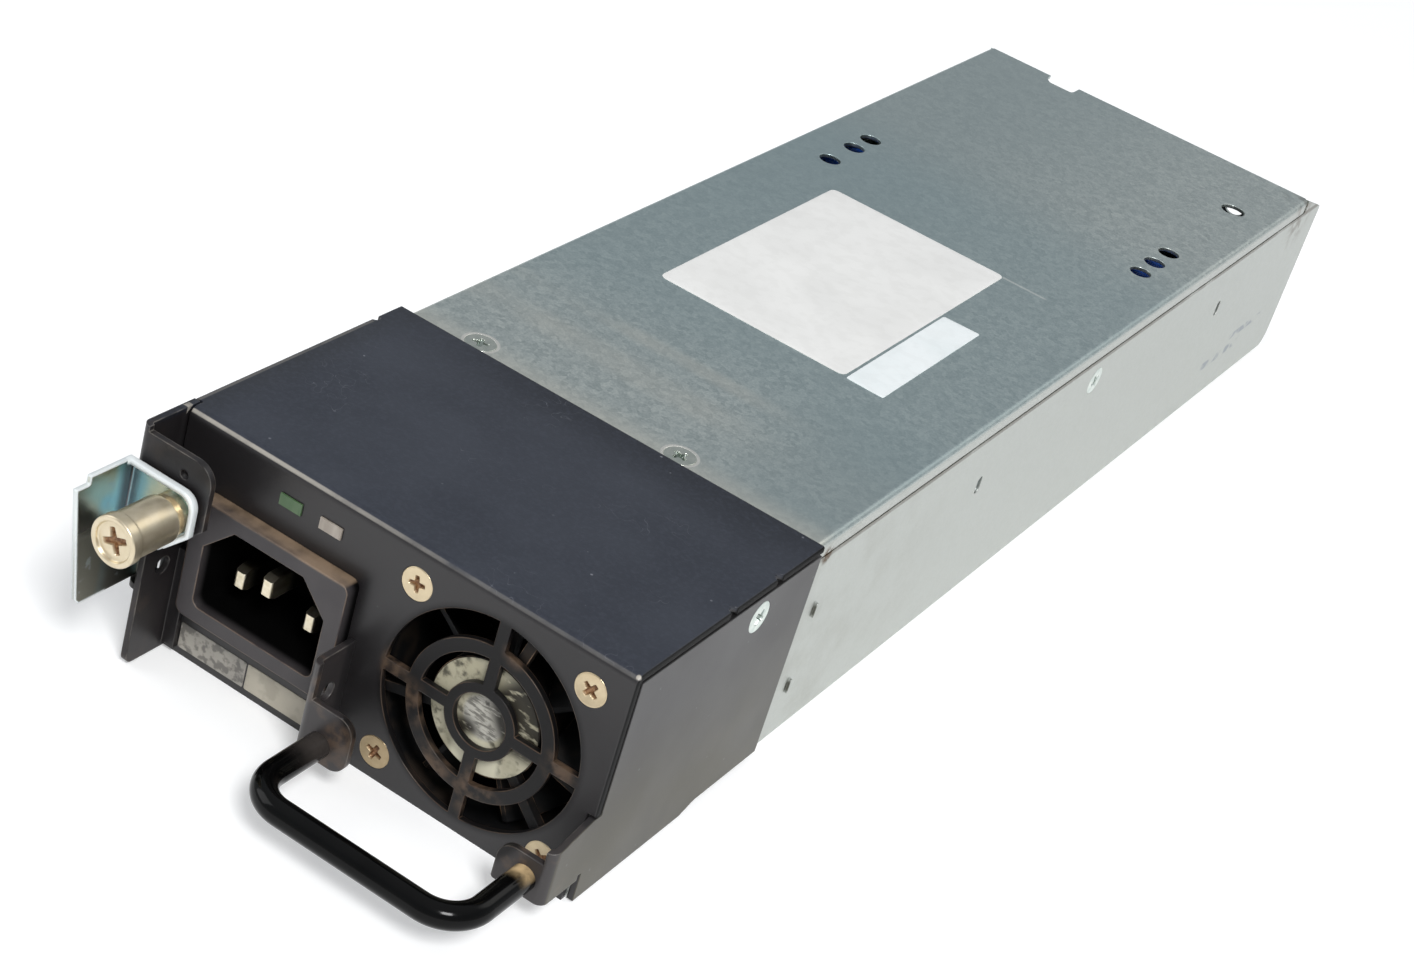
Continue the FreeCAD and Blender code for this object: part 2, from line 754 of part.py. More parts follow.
def ejector_lever():
    """One pressed sheet: rimmed front plate, deep finger wall, rolled knuckle and cam nose."""
    outer = -side
    right = lever_width + outer
    corner_z = lever_top - lever_corner - lever_right_edge
    slant = corner_z - lever_split
    face = [(outer, lever_split), (right - slant, lever_split), (right, corner_z),
            (right, lever_top, lever_corner), (outer, lever_top)]
    pan = slab(face, "xz", lever_front - lever_rim, lever_back)
    rounded = [e for e in pan.Edges if e.CenterOfMass.y > lever_back - 0.01
               and e.CenterOfMass.z > corner_z and e.CenterOfMass.x > outer + 0.01]
    pan = pan.makeFillet(lever_bend, rounded)
    shift = lever_sheet * math.tan(math.pi / 8)
    below = lever_split - lever_sheet
    edge, high = right - lever_sheet, lever_top - lever_sheet
    inner = [(outer - lever_sheet, below), (edge - shift - slant - lever_sheet, below),
             (edge, corner_z + shift), (edge, high, lever_corner - lever_sheet),
             (outer - lever_sheet, high)]
    pan = pan.cut(slab(inner, "xz", lever_front - 2 * lever_rim, lever_front))
    pan = pan.cut(block(outer + lever_sheet, right, lever_front - lever_rim, lever_front,
                        lever_split, lever_split + lever_rim_end))
    step_y = finger_step_length - finger_reach
    finger = [(lever_back, lever_top, lever_bend), (step_y, lever_top), (step_y, lever_top - finger_step),
              (-finger_reach, lever_top - finger_step), (-finger_foot_reach, lever_low + finger_chamfer),
              (finger_chamfer - finger_foot_reach, lever_low), (pivot_y, lever_low),
              (pivot_y, knuckle_top), (lever_back, knuckle_top)]
    finger_wall = slab(finger, "yz", outer, outer + lever_sheet)
    height = knuckle_top - lever_low
    knuckle = post(V(pivot_x, pivot_y, lever_low), V(0, 0, 1), knuckle_radius, height)
    nose_z = lever_low + (height - nose_height) / 2
    tip = nose_width / 2
    nose = slab([(pivot_x, pivot_y - tip), (outer - nose_reach, pivot_y - tip, tip * 0.9),
                 (outer - nose_reach, pivot_y + tip, tip * 0.9), (pivot_x, pivot_y + tip)],
                "xy", nose_z, nose_z + nose_height)
    bore = post(V(pivot_x, pivot_y, 0), V(0, 0, 1), pin_radius + pin_clearance, case_height)
    hole = post(V(captive_x, lever_front, captive_z), spin_axis, captive_shank + loose, lever_sheet)
    return fused([pan, finger_wall, knuckle, nose]).cut(bore).cut(hole)


def lever_pin():
    """Headed pin pressed into the ears of the lever bracket."""
    low = lever_low - ear_gap - plate
    shank = post(V(pivot_x, pivot_y, low), V(0, 0, 1), pin_radius, ear_top - low)
    head = post(V(pivot_x, pivot_y, low - sheet), V(0, 0, 1), knuckle_radius, sheet)
    return shank.fuse(head)


def captive_ferrule():
    """Flanged tube fixed to the lever, on which the sprung knob slides."""
    end = knob_front - knob_base - knob_travel - loose
    flange = post(V(captive_x, lever_front, captive_z), -spin_axis, ferrule_flange_radius, lever_rim)
    sleeve = post(V(captive_x, lever_front, captive_z), -spin_axis, ferrule_radius, end + lever_front)
    bore = post(V(captive_x, lever_front, captive_z), -spin_axis, captive_shank + loose, end)
    return flange.fuse(sleeve).cut(bore)


def captive_screw():
    """Knob with a rimmed head and cross recess, hollow behind, on a slim threaded shank."""
    at = V(captive_x, -knob_front, captive_z)
    skirt_end = lever_rim - lever_front + knob_travel + loose
    rim = post(at, spin_axis, knob_rim_radius, knob_rim)
    skirt = post(at, spin_axis, ferrule_radius + loose + knob_wall, knob_front - skirt_end)
    hollow = post(at + spin_axis * knob_base, spin_axis, ferrule_radius + loose, knob_front)
    pocket = post(at, spin_axis, knob_rim_radius - knob_pocket, knob_pocket)
    shank_length = knob_front - knob_pocket + lever_back
    shank = post(at + spin_axis * knob_pocket, spin_axis, captive_shank, shank_length)
    slots = []
    for turn in (0, 90):
        slot = block(-recess_length / 2, recess_length / 2, 0, knob_pocket + recess_depth,
                     -recess_width / 2, recess_width / 2)
        slot.translate(at)
        slot.rotate(at, spin_axis, turn)
        slots.append(slot)
    return rim.fuse(skirt).cut(hollow).fuse(shank).cut(pocket).cut(Part.makeCompound(slots))


def fan_frame():
    """Square flanges joined by a duct, with a fixed hub disc on struts and a bearing tube."""
    low_x, high_x = fan_x - fan_size / 2, fan_x + fan_size / 2
    low_z, high_z = fan_z - fan_size / 2, fan_z + fan_size / 2
    square = [(low_x, low_z, fan_corner), (high_x, low_z, fan_corner),
              (high_x, high_z, fan_corner), (low_x, high_z, fan_corner)]
    front = slab(square, "xz", plate, plate + fan_flange)
    back = slab(square, "xz", fan_back - fan_flange, fan_back)
    axis_point = V(fan_x, plate, fan_z)
    duct = post(axis_point, spin_axis, fan_bore + fan_wall, fan_depth)
    body = fused([front, back, duct]).cut(post(axis_point, spin_axis, fan_bore, fan_depth))
    hub_front = axis_point + spin_axis * hub_setback
    struts = [post(hub_front, spin_axis, hub_radius, hub_plate - hub_setback)]
    for k in range(strut_count):
        strut = block(fan_x, fan_x + fan_bore + fan_wall / 2, hub_front.y, plate + hub_plate,
                      fan_z - strut_width / 2, fan_z + strut_width / 2)
        strut.rotate(V(fan_x, 0, fan_z), spin_axis, 45 + k * 360 / strut_count)
        struts.append(strut)
    struts.append(post(hub_front, spin_axis, bearing_radius, hub_length - hub_setback))
    bore_start = axis_point + spin_axis * (hub_plate / 2)
    bore = post(bore_start, spin_axis, shaft_radius + shaft_clearance, fan_depth)
    holes = [post(at + spin_axis * plate, spin_axis, fan_hole, fan_depth) for at in fan_corners()]
    return fused([body] + struts).cut(bore).cut(Part.makeCompound(holes))


def fan_blade():
    """Blade along +X: cambered sections at the hub and at the tip, lofted and trimmed by the duct."""
    start = plate + hub_plate + hub_gap

    def section(radius, sweep):
        near, far = -sweep / 2, sweep / 2
        t = blade_thick / 2
        mid = start + blade_length / 2
        points = [(near - t, start), (blade_camber - t, mid), (far - t, start + blade_length),
                  (far + t, start + blade_length), (blade_camber + t, mid), (near + t, start)]
        a, b, c, d, e, f = [V(radius, y, z) for z, y in points]
        return Part.Wire([Part.Arc(a, b, c).toShape(), Part.LineSegment(c, d).toShape(),
                          Part.Arc(d, e, f).toShape(), Part.LineSegment(f, a).toShape()])
    root = section(hub_radius - hub_wall / 2, blade_sweep_root)
    tip = section(fan_bore, blade_sweep_tip)
    swept = Part.makeLoft([root, tip], True, True)
    return swept.common(post(V(0, 0, 0), spin_axis, fan_bore - blade_tip_gap, fan_depth))


def fan_rotor():
    """Cup, shaft and pitched blades in one moulding."""
    start = plate + hub_plate + hub_gap
    base = V(fan_x, start, fan_z)
    cup = post(base, spin_axis, hub_radius, hub_length)
    hollow = post(base, spin_axis, hub_radius - hub_wall, hub_length - hub_wall)
    shaft = post(base - spin_axis * (hub_gap / 2), spin_axis, shaft_radius, hub_length)
    parts = [cup.cut(hollow), shaft]
    blade = fan_blade()
    for k in range(blade_count):
        turned = blade.copy()
        turned.rotate(V(0, 0, 0), spin_axis, k * 360 / blade_count)
        turned.translate(V(fan_x, 0, fan_z))
        parts.append(turned.cut(post(base, spin_axis, hub_radius - hub_wall / 2, hub_length)))
    return fused(parts)


def fan_motor():
    """Four-pole core on the bearing tube, inside the rotor cup."""
    start = V(fan_x, plate + hub_plate, fan_z)
    radius = hub_radius - hub_wall - core_gap
    core = post(start, spin_axis, radius, core_length)
    gaps = []
    for k in range(4):
        gap = block(fan_x + bearing_radius + 1, fan_x + hub_radius, start.y, start.y + core_length,
                    fan_z - 1, fan_z + 1)
        gap.rotate(V(fan_x, 0, fan_z), spin_axis, 90 * k)
        gaps.append(gap)
    bore = post(start, spin_axis, bearing_radius + loose, core_length)
    return core.cut(bore).cut(Part.makeCompound(gaps))


def inlet_housing():
    """Moulded inlet: rounded flange on the face, body behind it, socket with two slanted corners."""
    def centred(width, height, corner):
        w, h = width / 2, height / 2
        return [(inlet_x - w, inlet_z - h, corner), (inlet_x + w, inlet_z - h, corner),
                (inlet_x + w, inlet_z + h, corner), (inlet_x - w, inlet_z + h, corner)]
    flange = slab(centred(inlet_width, inlet_height, inlet_corner), "xz", -inlet_lip, 0)
    body = slab(centred(inlet_body_width, inlet_body_height, 0), "xz", 0, inlet_back)
    w, h = socket_width / 2, socket_height / 2
    socket = [(inlet_x - w, inlet_z - h, socket_corner), (inlet_x + w, inlet_z - h, socket_corner),
              (inlet_x + w, inlet_z + h - socket_chamfer), (inlet_x + w - socket_chamfer, inlet_z + h),
              (inlet_x - w + socket_chamfer, inlet_z + h), (inlet_x - w, inlet_z + h - socket_chamfer)]
    hollow = slab(socket, "xz", -inlet_lip, socket_floor)
    return flange.fuse(body).cut(hollow).cut(Part.makeCompound(inlet_pins())).removeSplitter()


def pin_points():
    return [(V(inlet_x - pin_pitch / 2, 0, inlet_z - pin_drop), pin_recess),
            (V(inlet_x, 0, inlet_z + earth_rise), earth_recess),
            (V(inlet_x + pin_pitch / 2, 0, inlet_z - pin_drop), pin_recess)]


def inlet_pins():
    """Flat pins with tapered tips that run through the body and end as push-on tabs."""
    pins = []
    for at, recess in pin_points():
        ease = pin_width / 4
        tip = recess - inlet_lip
        blade = slab([(at.x - pin_width / 2, inlet_back), (at.x - pin_width / 2, tip, ease),
                      (at.x + pin_width / 2, tip, ease), (at.x + pin_width / 2, inlet_back)],
                     "xy", at.z - pin_height / 2, at.z + pin_height / 2)
        u, v = pin_tip_height / 2, pin_height / 2
        taper = [(tip, at.z - u), (tip + pin_taper, at.z - v), (inlet_back, at.z - v),
                 (inlet_back, at.z + v), (tip + pin_taper, at.z + v), (tip, at.z + u)]
        blade = blade.common(slab(taper, "yz", at.x - pin_width, at.x + pin_width))
        tab = block(at.x - tab_thick / 2, at.x + tab_thick / 2, inlet_back, inlet_back + tab_length,
                    at.z - pin_height / 2, at.z + pin_height / 2)
        pins.append(blade.fuse(tab))
    return pins


def status_lens(at):
    """Light guide: window block just proud of the face, with a lip behind it."""
    w, h = lens_width / 2, lens_height / 2
    window = block(at.x - w, at.x + w, -lens_proud, lens_length, at.z - h, at.z + h)
    lip = block(at.x - w - lens_lip, at.x + w + lens_lip, plate, plate + lens_lip,
                at.z - h - lens_lip, at.z + h + lens_lip)
    return window.fuse(lip)


def insulator_sheet():
    edge = wall - film_margin
    shape = block(-edge, edge, board_front, board_rear, sheet, sheet + film)
    holes = [post(at, V(0, 0, 1), standoff_radius + loose, film) for at in standoff_points()]
    return shape.cut(Part.makeCompound(holes))


def main_board():
    edge = wall - film_margin
    shape = block(-edge, edge, board_front, board_rear, board_height, board_top)
    holes = [post(at, V(0, 0, 1), screw_hole, board_top) for at in standoff_points()]
    return shape.cut(Part.makeCompound(holes))


def standoffs():
    pillars = []
    for at in standoff_points():
        pillar = post(at, V(0, 0, 1), standoff_radius, board_height - sheet)
        pillars.append(pillar.cut(post(at, V(0, 0, 1), screw_hole, board_height)))
    return pillars


def board_screws():
    screws = []
    for at in standoff_points():
        seat = V(at.x, at.y, board_top)
        head = post(seat, V(0, 0, 1), board_screw_radius, board_screw_head)
        screws.append(head.fuse(post(seat, V(0, 0, -1), screw_shank, board + screw_shank)))
    return screws


def heatsink(sign):
    """Extruded comb against a side wall, tapped for the wall's screw."""
    y0, y1 = sink_y - sink_length / 2, sink_y + sink_length / 2
    base_in = wall - sink_base
    outline = [(wall, sink_low), (wall, sink_high)]
    for k in reversed(range(sink_fin_count)):
        z = sink_low + k * sink_pitch
        outline += [(base_in - sink_fin_depth, z + sink_fin), (base_in - sink_fin_depth, z)]
        if k:
            outline += [(base_in, z), (base_in, z - sink_pitch + sink_fin)]
    shape = slab(outline, "xz", y0, y1)
    shape = shape.cut(post(V(wall, side_screw_y, side_screw_z), V(-1, 0, 0), screw_hole, sink_base))
    feet = [block(base_in, wall, y, y + sink_base, board_top, sink_low) for y in (y0, y1 - sink_base)]
    shape = fused([shape] + feet)
    return shape if sign > 0 else mirrored(shape)


def transistor(x, y):
    """Upright package with three legs on the board."""
    low = board_top + transistor_rise
    body = block(x, x + transistor_thick, y - transistor_width / 2, y + transistor_width / 2,
                 low, low + transistor_height)
    legs = []
    for k in (-1, 0, 1):
        middle = y + k * leg_pitch
        legs.append(block(x, x + leg_thick, middle - leg_thick / 2, middle + leg_thick / 2, board_top, low))
    return fused([body] + legs)


def power_transistors():
    face = wall - sink_base - sink_fin_depth - transistor_thick
    group = []
    for k in range(transistor_count):
        y = sink_y + (k - (transistor_count - 1) / 2) * transistor_pitch
        right = transistor(face, y)
        group += [right, mirrored(right)]
    return group


def bulk_capacitors():
    """Upright cans, each with the rolled groove above its foot."""
    cans = []
    height = component_top - board_top
    for at in (bulk_left, bulk_middle, bulk_right):
        ring = at + V(0, 0, bulk_groove_rise)
        groove = post(ring, V(0, 0, 1), bulk_radius + 1, bulk_groove).cut(
            post(ring, V(0, 0, 1), bulk_radius - bulk_groove, bulk_groove))
        cans.append(post(at, V(0, 0, 1), bulk_radius, height).cut(groove))
    return cans


def boost_choke():
    """Ring core, and the winding that wraps it, as two pieces; the winding stands on the board."""
    at = V(0, choke_y, board_top)
    lift = (choke_height - choke_core_height) / 2

    def ring(outer, inner, low, height):
        base = at + V(0, 0, low)
        return post(base, V(0, 0, 1), outer, height).cut(post(base, V(0, 0, 1), inner, height))
    core = ring(choke_core_radius, choke_core_hole, lift, choke_core_height)
    winding = ring(choke_radius, choke_hole_radius, 0, choke_height)
    hollow = ring(choke_core_radius + loose, choke_core_hole - loose, lift, choke_core_height)
    opening = block(at.x - choke_radius, at.x, at.y - choke_core_hole / 2, at.y + choke_core_hole / 2,
                    board_top, board_top + choke_height)
    return core, winding.cut(hollow).cut(opening)


def transformer():
    """Two-window core round a bobbin, and the winding on its middle leg."""
    x0, x1 = -core_width_e / 2, core_width_e / 2
    y0 = transformer_front
    y1 = y0 + core_length_e
    z0 = board_top
    core = block(x0, x1, y0, y1, z0, z0 + core_height_e)
    windows = []
    for sign in (-1, 1):
        inner = sign * core_leg / 2
        outer = sign * (core_width_e / 2 - core_leg / 2)
        windows.append(block(min(inner, outer), max(inner, outer), y0 + core_yoke, y1 - core_yoke,
                             z0, z0 + core_height_e))
    core = core.cut(Part.makeCompound(windows))
    gap = winding_wall
    reach_x = core_width_e / 2 - core_leg / 2 - gap
    winding = block(-reach_x, reach_x, y0 + core_yoke, y1 - core_yoke, z0, z0 + core_height_e - gap)
    leg = block(-core_leg / 2, core_leg / 2, y0, y1, z0, z0 + core_height_e)
    return core, Part.makeCompound(winding.cut(leg).Solids)


def filter_choke():
    """Wound ring lying on the board, revolved from a section with eased upper corners."""
    outer, ease = filter_choke_radius, filter_choke_ease
    at = V(wall - film_margin - outer, board_front + filter_choke_setback + outer, board_top)
    height = filter_choke_height
    section = [V(filter_choke_hole, 0, 0), V(outer, 0, 0), V(outer, 0, height - ease),
               V(outer - ease, 0, height), V(filter_choke_hole + ease, 0, height),
               V(filter_choke_hole, 0, height - ease)]
    ring = Part.Face(tangent_path(section, [0] * len(section), True)).revolve(V(0, 0, 0), V(0, 0, 1), 360)
    ring.translate(at)
    return ring


def x_capacitor():
    x0 = inlet_x - box_cap_length / 2
    x1 = x0 + box_cap_length
    y1 = converter_y - film_margin
    y0 = y1 - box_cap_width
    corners = [(x0, y0, box_cap_round), (x1, y0, box_cap_round),
               (x1, y1, box_cap_round), (x0, y1, box_cap_round)]
    return slab(corners, "xy", board_top, board_top + box_cap_height)


def bridge_rectifier():
    """Flat upright package on four legs."""
    x0 = fan_x - bridge_width / 2
    y0 = converter_y - film_margin - bridge_thick
    low = board_top + bridge_rise
    parts = [slab([(x0, low), (x0 + bridge_width, low), (x0 + bridge_width, low + bridge_height),
                   (x0 + bridge_rise, low + bridge_height), (x0, low + bridge_height - bridge_rise)],
                  "xz", y0, y0 + bridge_thick)]
    for k in range(4):
        x = x0 + bridge_width * (k + 0.5) / 4
        parts.append(block(x - leg_thick / 2, x + leg_thick / 2, y0, y0 + leg_thick, board_top, low))
    return fused(parts)


def output_capacitors():
    group = []
    y = output_y + film_margin + output_cap_radius
    for k in range(output_cap_count):
        x = (k - (output_cap_count - 1) / 2) * output_cap_pitch
        group.append(post(V(x, y, board_top), V(0, 0, 1), output_cap_radius, output_cap_height))
    return group


def control_board():
    """Small upright board with its chips, standing on the main board."""
    x0 = 2 * film_margin - wall
    y0 = output_y + film_margin
    z0 = board_top
    parts = [block(x0, x0 + control_thick, y0, y0 + control_length, z0, z0 + control_height)]
    face = x0 + control_thick
    for k in range(2):
        y = y0 + control_length * (k + 0.5) / 2
        z = z0 + control_height / 2
        parts.append(block(face, face + chip_thick, y - chip_size / 2, y + chip_size / 2,
                           z - chip_size / 2, z + chip_size / 2))
    return fused(parts)


def contact_xs():
    return [(k - (contact_count - 1) / 2) * contact_pitch for k in range(contact_count)]


def output_connector():
    """Rear connector body with a row of upright slots."""
    y1 = case_length - connector_stand
    y0 = y1 - connector_depth
    w = connector_width / 2
    shape = block(-w, w, y0, y1, board_top, board_top + connector_height)
    z = board_top + connector_height / 2
    slots = [block(x - contact_slot / 2, x + contact_slot / 2, y0 + contact_slot, y1,
                   z - contact_height / 2, z + contact_height / 2) for x in contact_xs()]
    return shape.cut(Part.makeCompound(slots))


def output_contacts():
    """Blades that stand in the connector's slots, set back from its mouth."""
    y1 = case_length - connector_stand
    y0 = y1 - connector_depth + contact_slot
    z = board_top + connector_height / 2
    return [block(x - contact_thick / 2, x + contact_thick / 2, y0, y1 - contact_recess,
                  z - contact_height / 2, z + contact_height / 2) for x in contact_xs()]


def inlet_leads():
    """Three leads from the inlet's tabs, back and down to the front of the board."""
    leads = []
    start_y = inlet_back + tab_length
    for at, _ in pin_points():
        land_y = board_front + 2 * lead_bend
        points = [V(at.x, start_y, at.z), V(at.x, land_y, at.z), V(at.x, land_y, board_top)]
        leads.append(tube_along(points, lead_bend * 0.75, lead_radius))
    return leads


def fan_lead():
    """Lead from the back of the fan's frame to the board."""
    x = fan_x - fan_size / 2 + fan_corner
    z = fan_z + fan_lead_rise
    land_y = board_front + lead_bend
    points = [V(x, fan_back, z), V(x, land_y, z), V(x, land_y, board_top)]
    return tube_along(points, lead_bend * 0.75, fan_lead_radius)


def build():
    choke_core, choke_winding = boost_choke()
    transformer_core, transformer_winding = transformer()
    lens_input, lens_output = lens_points()
    fan_screw = flat_head_screw(plate)
    return {
        "base_tray": base_tray(),
        "top_cover": top_cover(),
        "rear_panel": rear_panel(),
        "cover_brace": cover_brace(),
        "front_cover": front_cover(),
        "right_side_plate": right_side_plate(),
        "left_side_plate": left_side_plate(),
        "lever_bracket": lever_bracket(),
        "handle_bracket": handle_bracket(),
        "handle": handle(),
        "ejector_lever": ejector_lever(),
        "lever_pin": lever_pin(),
        "captive_ferrule": captive_ferrule(),
        "captive_screw": captive_screw(),
        "fan_frame": fan_frame(),
        "fan_rotor": fan_rotor(),
        "fan_motor": fan_motor(),
        "fan_screws": [pointed(fan_screw, at, spin_axis) for at in fan_corners()],
        "inlet_housing": inlet_housing(),
        "inlet_pins": inlet_pins(),
        "status_lens_input": status_lens(lens_input),
        "status_lens_output": status_lens(lens_output),
        "cover_screws": [pointed(flat_head_screw(sheet), at, V(0, 0, -1)) for at in cover_screw_points()],
        "side_screws": [pointed(flat_head_screw(d), at, inward) for at, inward, d in side_screw_seats()],
        "insulator_sheet": insulator_sheet(),
        "main_board": main_board(),
        "standoffs": standoffs(),
        "board_screws": board_screws(),
        "inlet_leads": inlet_leads(),
        "fan_lead": fan_lead(),
        "filter_choke": filter_choke(),
        "x_capacitor": x_capacitor(),
        "bridge_rectifier": bridge_rectifier(),
        "boost_choke_core": choke_core,
        "boost_choke_winding": choke_winding,
        "right_heatsink": heatsink(1),
        "left_heatsink": heatsink(-1),
        "power_transistors": power_transistors(),
        "bulk_capacitors": bulk_capacitors(),
        "transformer_core": transformer_core,
        "transformer_winding": transformer_winding,
        "output_capacitors": output_capacitors(),
        "control_board": control_board(),
        "output_connector": output_connector(),
        "output_contacts": output_contacts(),
    }


os.makedirs("parts", exist_ok=True)
for node, shape in build().items():
    if isinstance(shape, list):
        shape = Part.makeCompound(shape)
    shape.exportStep(f"parts/{node}.step")
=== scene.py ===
"""Looks of the switching power supply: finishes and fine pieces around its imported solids.

Lengths are metres in the frame of the solids: +Z up, X to the right seen from the front,
Y from the faceplate to the rear. Places of masks, profiles and labels are millimetres there.
"""

import math

import bmesh
import bpy
import numpy as np
from mathutils import Matrix, Vector


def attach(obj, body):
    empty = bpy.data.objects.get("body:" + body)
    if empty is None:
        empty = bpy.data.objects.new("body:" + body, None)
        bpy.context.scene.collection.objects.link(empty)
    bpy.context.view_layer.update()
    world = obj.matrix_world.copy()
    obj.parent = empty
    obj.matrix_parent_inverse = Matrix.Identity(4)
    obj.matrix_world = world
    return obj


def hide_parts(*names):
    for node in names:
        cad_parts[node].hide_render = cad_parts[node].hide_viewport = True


MM = 0.001
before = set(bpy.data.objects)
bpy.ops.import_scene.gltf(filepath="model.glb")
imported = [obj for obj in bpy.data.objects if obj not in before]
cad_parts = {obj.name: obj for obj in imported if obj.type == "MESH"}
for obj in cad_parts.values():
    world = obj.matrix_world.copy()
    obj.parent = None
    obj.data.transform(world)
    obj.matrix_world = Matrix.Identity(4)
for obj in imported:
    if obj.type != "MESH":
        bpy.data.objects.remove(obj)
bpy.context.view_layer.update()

# Places that finishes and pieces share, in mm
FAN_X, FAN_Z, FAN_HALF_PITCH = 20.25, 20.8, 16
COVER_TOP, FRONT_TOP = 42, 43.1
CASE_SIDE, FRONT_SIDE = 41.95, 43.05
COVER_SEATS = ((-28.55, 59, COVER_TOP), (12.65, 59, COVER_TOP))


def fan_corner(side, level):
    """Place of a fan screw: side is -1 left or 1 right, level is -1 low or 1 high, and 0 is midway."""
    return FAN_X + FAN_HALF_PITCH * side, 0, FAN_Z + FAN_HALF_PITCH * level


# Colours, shader nodes and masks

def linear(code):
    """sRGB hex colour as linear red, green, blue and alpha."""
    channels = [int(code[k:k + 2], 16) / 255 for k in (1, 3, 5)]
    return tuple(c / 12.92 if c <= 0.04045 else ((c + 0.055) / 1.055) ** 2.4 for c in channels) + (1.0,)


def per(size_mm):
    """Pattern scale whose features are size_mm apart."""
    return 1 / (size_mm * MM)


def add(tree, kind, sockets=None, stops=(), **settings):
    """Adds one shader node with its settings, sockets and ramp stops; returns its outputs.

    A socket takes an output, which is linked, or a hex colour or plain value, which is set on it.
    """
    def plain(value):
        return linear(value) if isinstance(value, str) else value

    made = tree.nodes.new("ShaderNode" + kind)
    for name, value in settings.items():
        setattr(made, name, value)
    for socket, value in (sockets or {}).items():
        if isinstance(value, bpy.types.NodeSocket):
            tree.links.new(value, made.inputs[socket])
        else:
            made.inputs[socket].default_value = plain(value)
    if stops:
        ramp = made.color_ramp.elements
        stops = [(place, plain(colour)) for place, colour in stops]
        ramp[0].position, ramp[0].color = stops[0]
        ramp[1].position, ramp[1].color = stops[-1]
        for place, colour in stops[1:-1]:
            ramp.new(place).color = colour
    return made.outputs


def new_finish(name, **sockets):
    """Material with one Principled shader and its constant sockets; gives it, its tree and its coordinates."""
    made = bpy.data.materials.new(name)
    made.use_nodes = True
    tree = made.node_tree
    for socket, value in sockets.items():
        tree.nodes["Principled BSDF"].inputs[socket.replace("_", " ")].default_value = value
    return made, tree, add(tree, "TexCoord")["Object"]


def finished(made, height, depth_mm, strength, eased=None, **outputs):
    """Closes a finish: outputs go to the shader's sockets, and a height output gives relief of depth_mm.

    The relief lies over the eased normal where one is given.
    """
    tree = made.node_tree
    relief = {"Height": height, "Distance": depth_mm * MM, "Strength": strength}
    if eased:
        relief["Normal"] = eased
    outputs["Normal"] = add(tree, "Bump", relief)[0]
    for socket, output in outputs.items():
        tree.links.new(output, tree.nodes["Principled BSDF"].inputs[socket.replace("_", " ")])
    return made


def overlap(tree, *parts):
    """Where all parts hold: the product of masks, numbers and limits along a length output, in mm.

    Limits are (length, start, end), a smooth step from 0 to 1; (length, start, end, edge), 1 from start
    to end and fading over edge outside; or (length, start, end, first, last), from first to last.
    """
    factors = []
    for part in parts:
        if not isinstance(part, tuple):
            factors.append(part)
            continue
        length, start, end, *rest = part
        first, last = rest if len(rest) == 2 else (0.0, 1.0)
        steps = [(start, end)]
        if len(rest) == 1:
            steps = [(start - rest[0], start), (end + rest[0], end)]
        for begin, stop in steps:
            step = {"Value": length, "From Min": begin * MM, "From Max": stop * MM,
                    "To Min": first, "To Max": last}
            factors.append(add(tree, "MapRange", step, interpolation_type="SMOOTHSTEP")[0])
    total = factors[0]
    for factor in factors[1:]:
        total = add(tree, "Math", {0: total, 1: factor}, operation="MULTIPLY")[0]
    return total


def either(tree, *parts):
    """Where any part holds: the largest of masks and limits along a length output."""
    total = overlap(tree, parts[0])
    for part in parts[1:]:
        total = add(tree, "Math", {0: total, 1: overlap(tree, part)}, operation="MAXIMUM")[0]
    return total


def layered(tree, colour, *layers):
    """Colour under layers: each is a mask or limits, and the colour that it lays over what is below."""
    for mask, over in layers:
        colour = add(tree, "Mix", {0: overlap(tree, mask), 6: colour, 7: over}, data_type="RGBA")[2]
    return colour


def patches(tree, place, size_mm, low, high, detail=4.0, stretch=(1, 1, 1)):
    """Noise patches of size_mm as a 0 to 1 mask, sharpened between low and high; stretch is per axis."""
    spread = add(tree, "Mapping", {"Vector": place, "Scale": stretch})[0]
    noise = add(tree, "TexNoise", {"Vector": spread, "Scale": per(size_mm), "Detail": detail})[0]
    step = {"Value": noise, "From Min": low, "From Max": high}
    return add(tree, "MapRange", step, interpolation_type="SMOOTHSTEP")[0]


def spot(tree, place, centre_mm, radius_mm, edge_mm):
    """Round spot about a point: 1 within radius_mm, fading to 0 over edge_mm."""
    centre = tuple(c * MM for c in centre_mm)
    away = add(tree, "VectorMath", {0: place, 1: centre}, operation="DISTANCE")["Value"]
    return overlap(tree, (away, radius_mm + edge_mm, radius_mm))


def from_axis(tree, place, x_mm, z_mm):
    """Distance from the line along Y through x_mm, z_mm."""
    away = add(tree, "VectorMath", {0: place, 1: (x_mm * MM, 0, z_mm * MM)}, operation="SUBTRACT")[0]
    across = add(tree, "VectorMath", {0: away, 1: (1, 0, 1)}, operation="MULTIPLY")[0]
    return add(tree, "VectorMath", {0: across}, operation="LENGTH")["Value"]


def edges_of(tree, radius_mm, start=0.01, end=0.12):
    """Eased normal over radius_mm, and 0 to 1 by how far it leans from the flat one, so 1 on edges."""
    eased = add(tree, "Bevel", {"Radius": radius_mm * MM}, samples=8)[0]
    flat = add(tree, "NewGeometry")["Normal"]
    lean = add(tree, "VectorMath", {0: eased, 1: flat}, operation="DOT_PRODUCT")["Value"]
    return eased, add(tree, "MapRange", {"Value": lean, "From Min": 1 - start, "From Max": 1 - end})[0]


# Finishes of the case

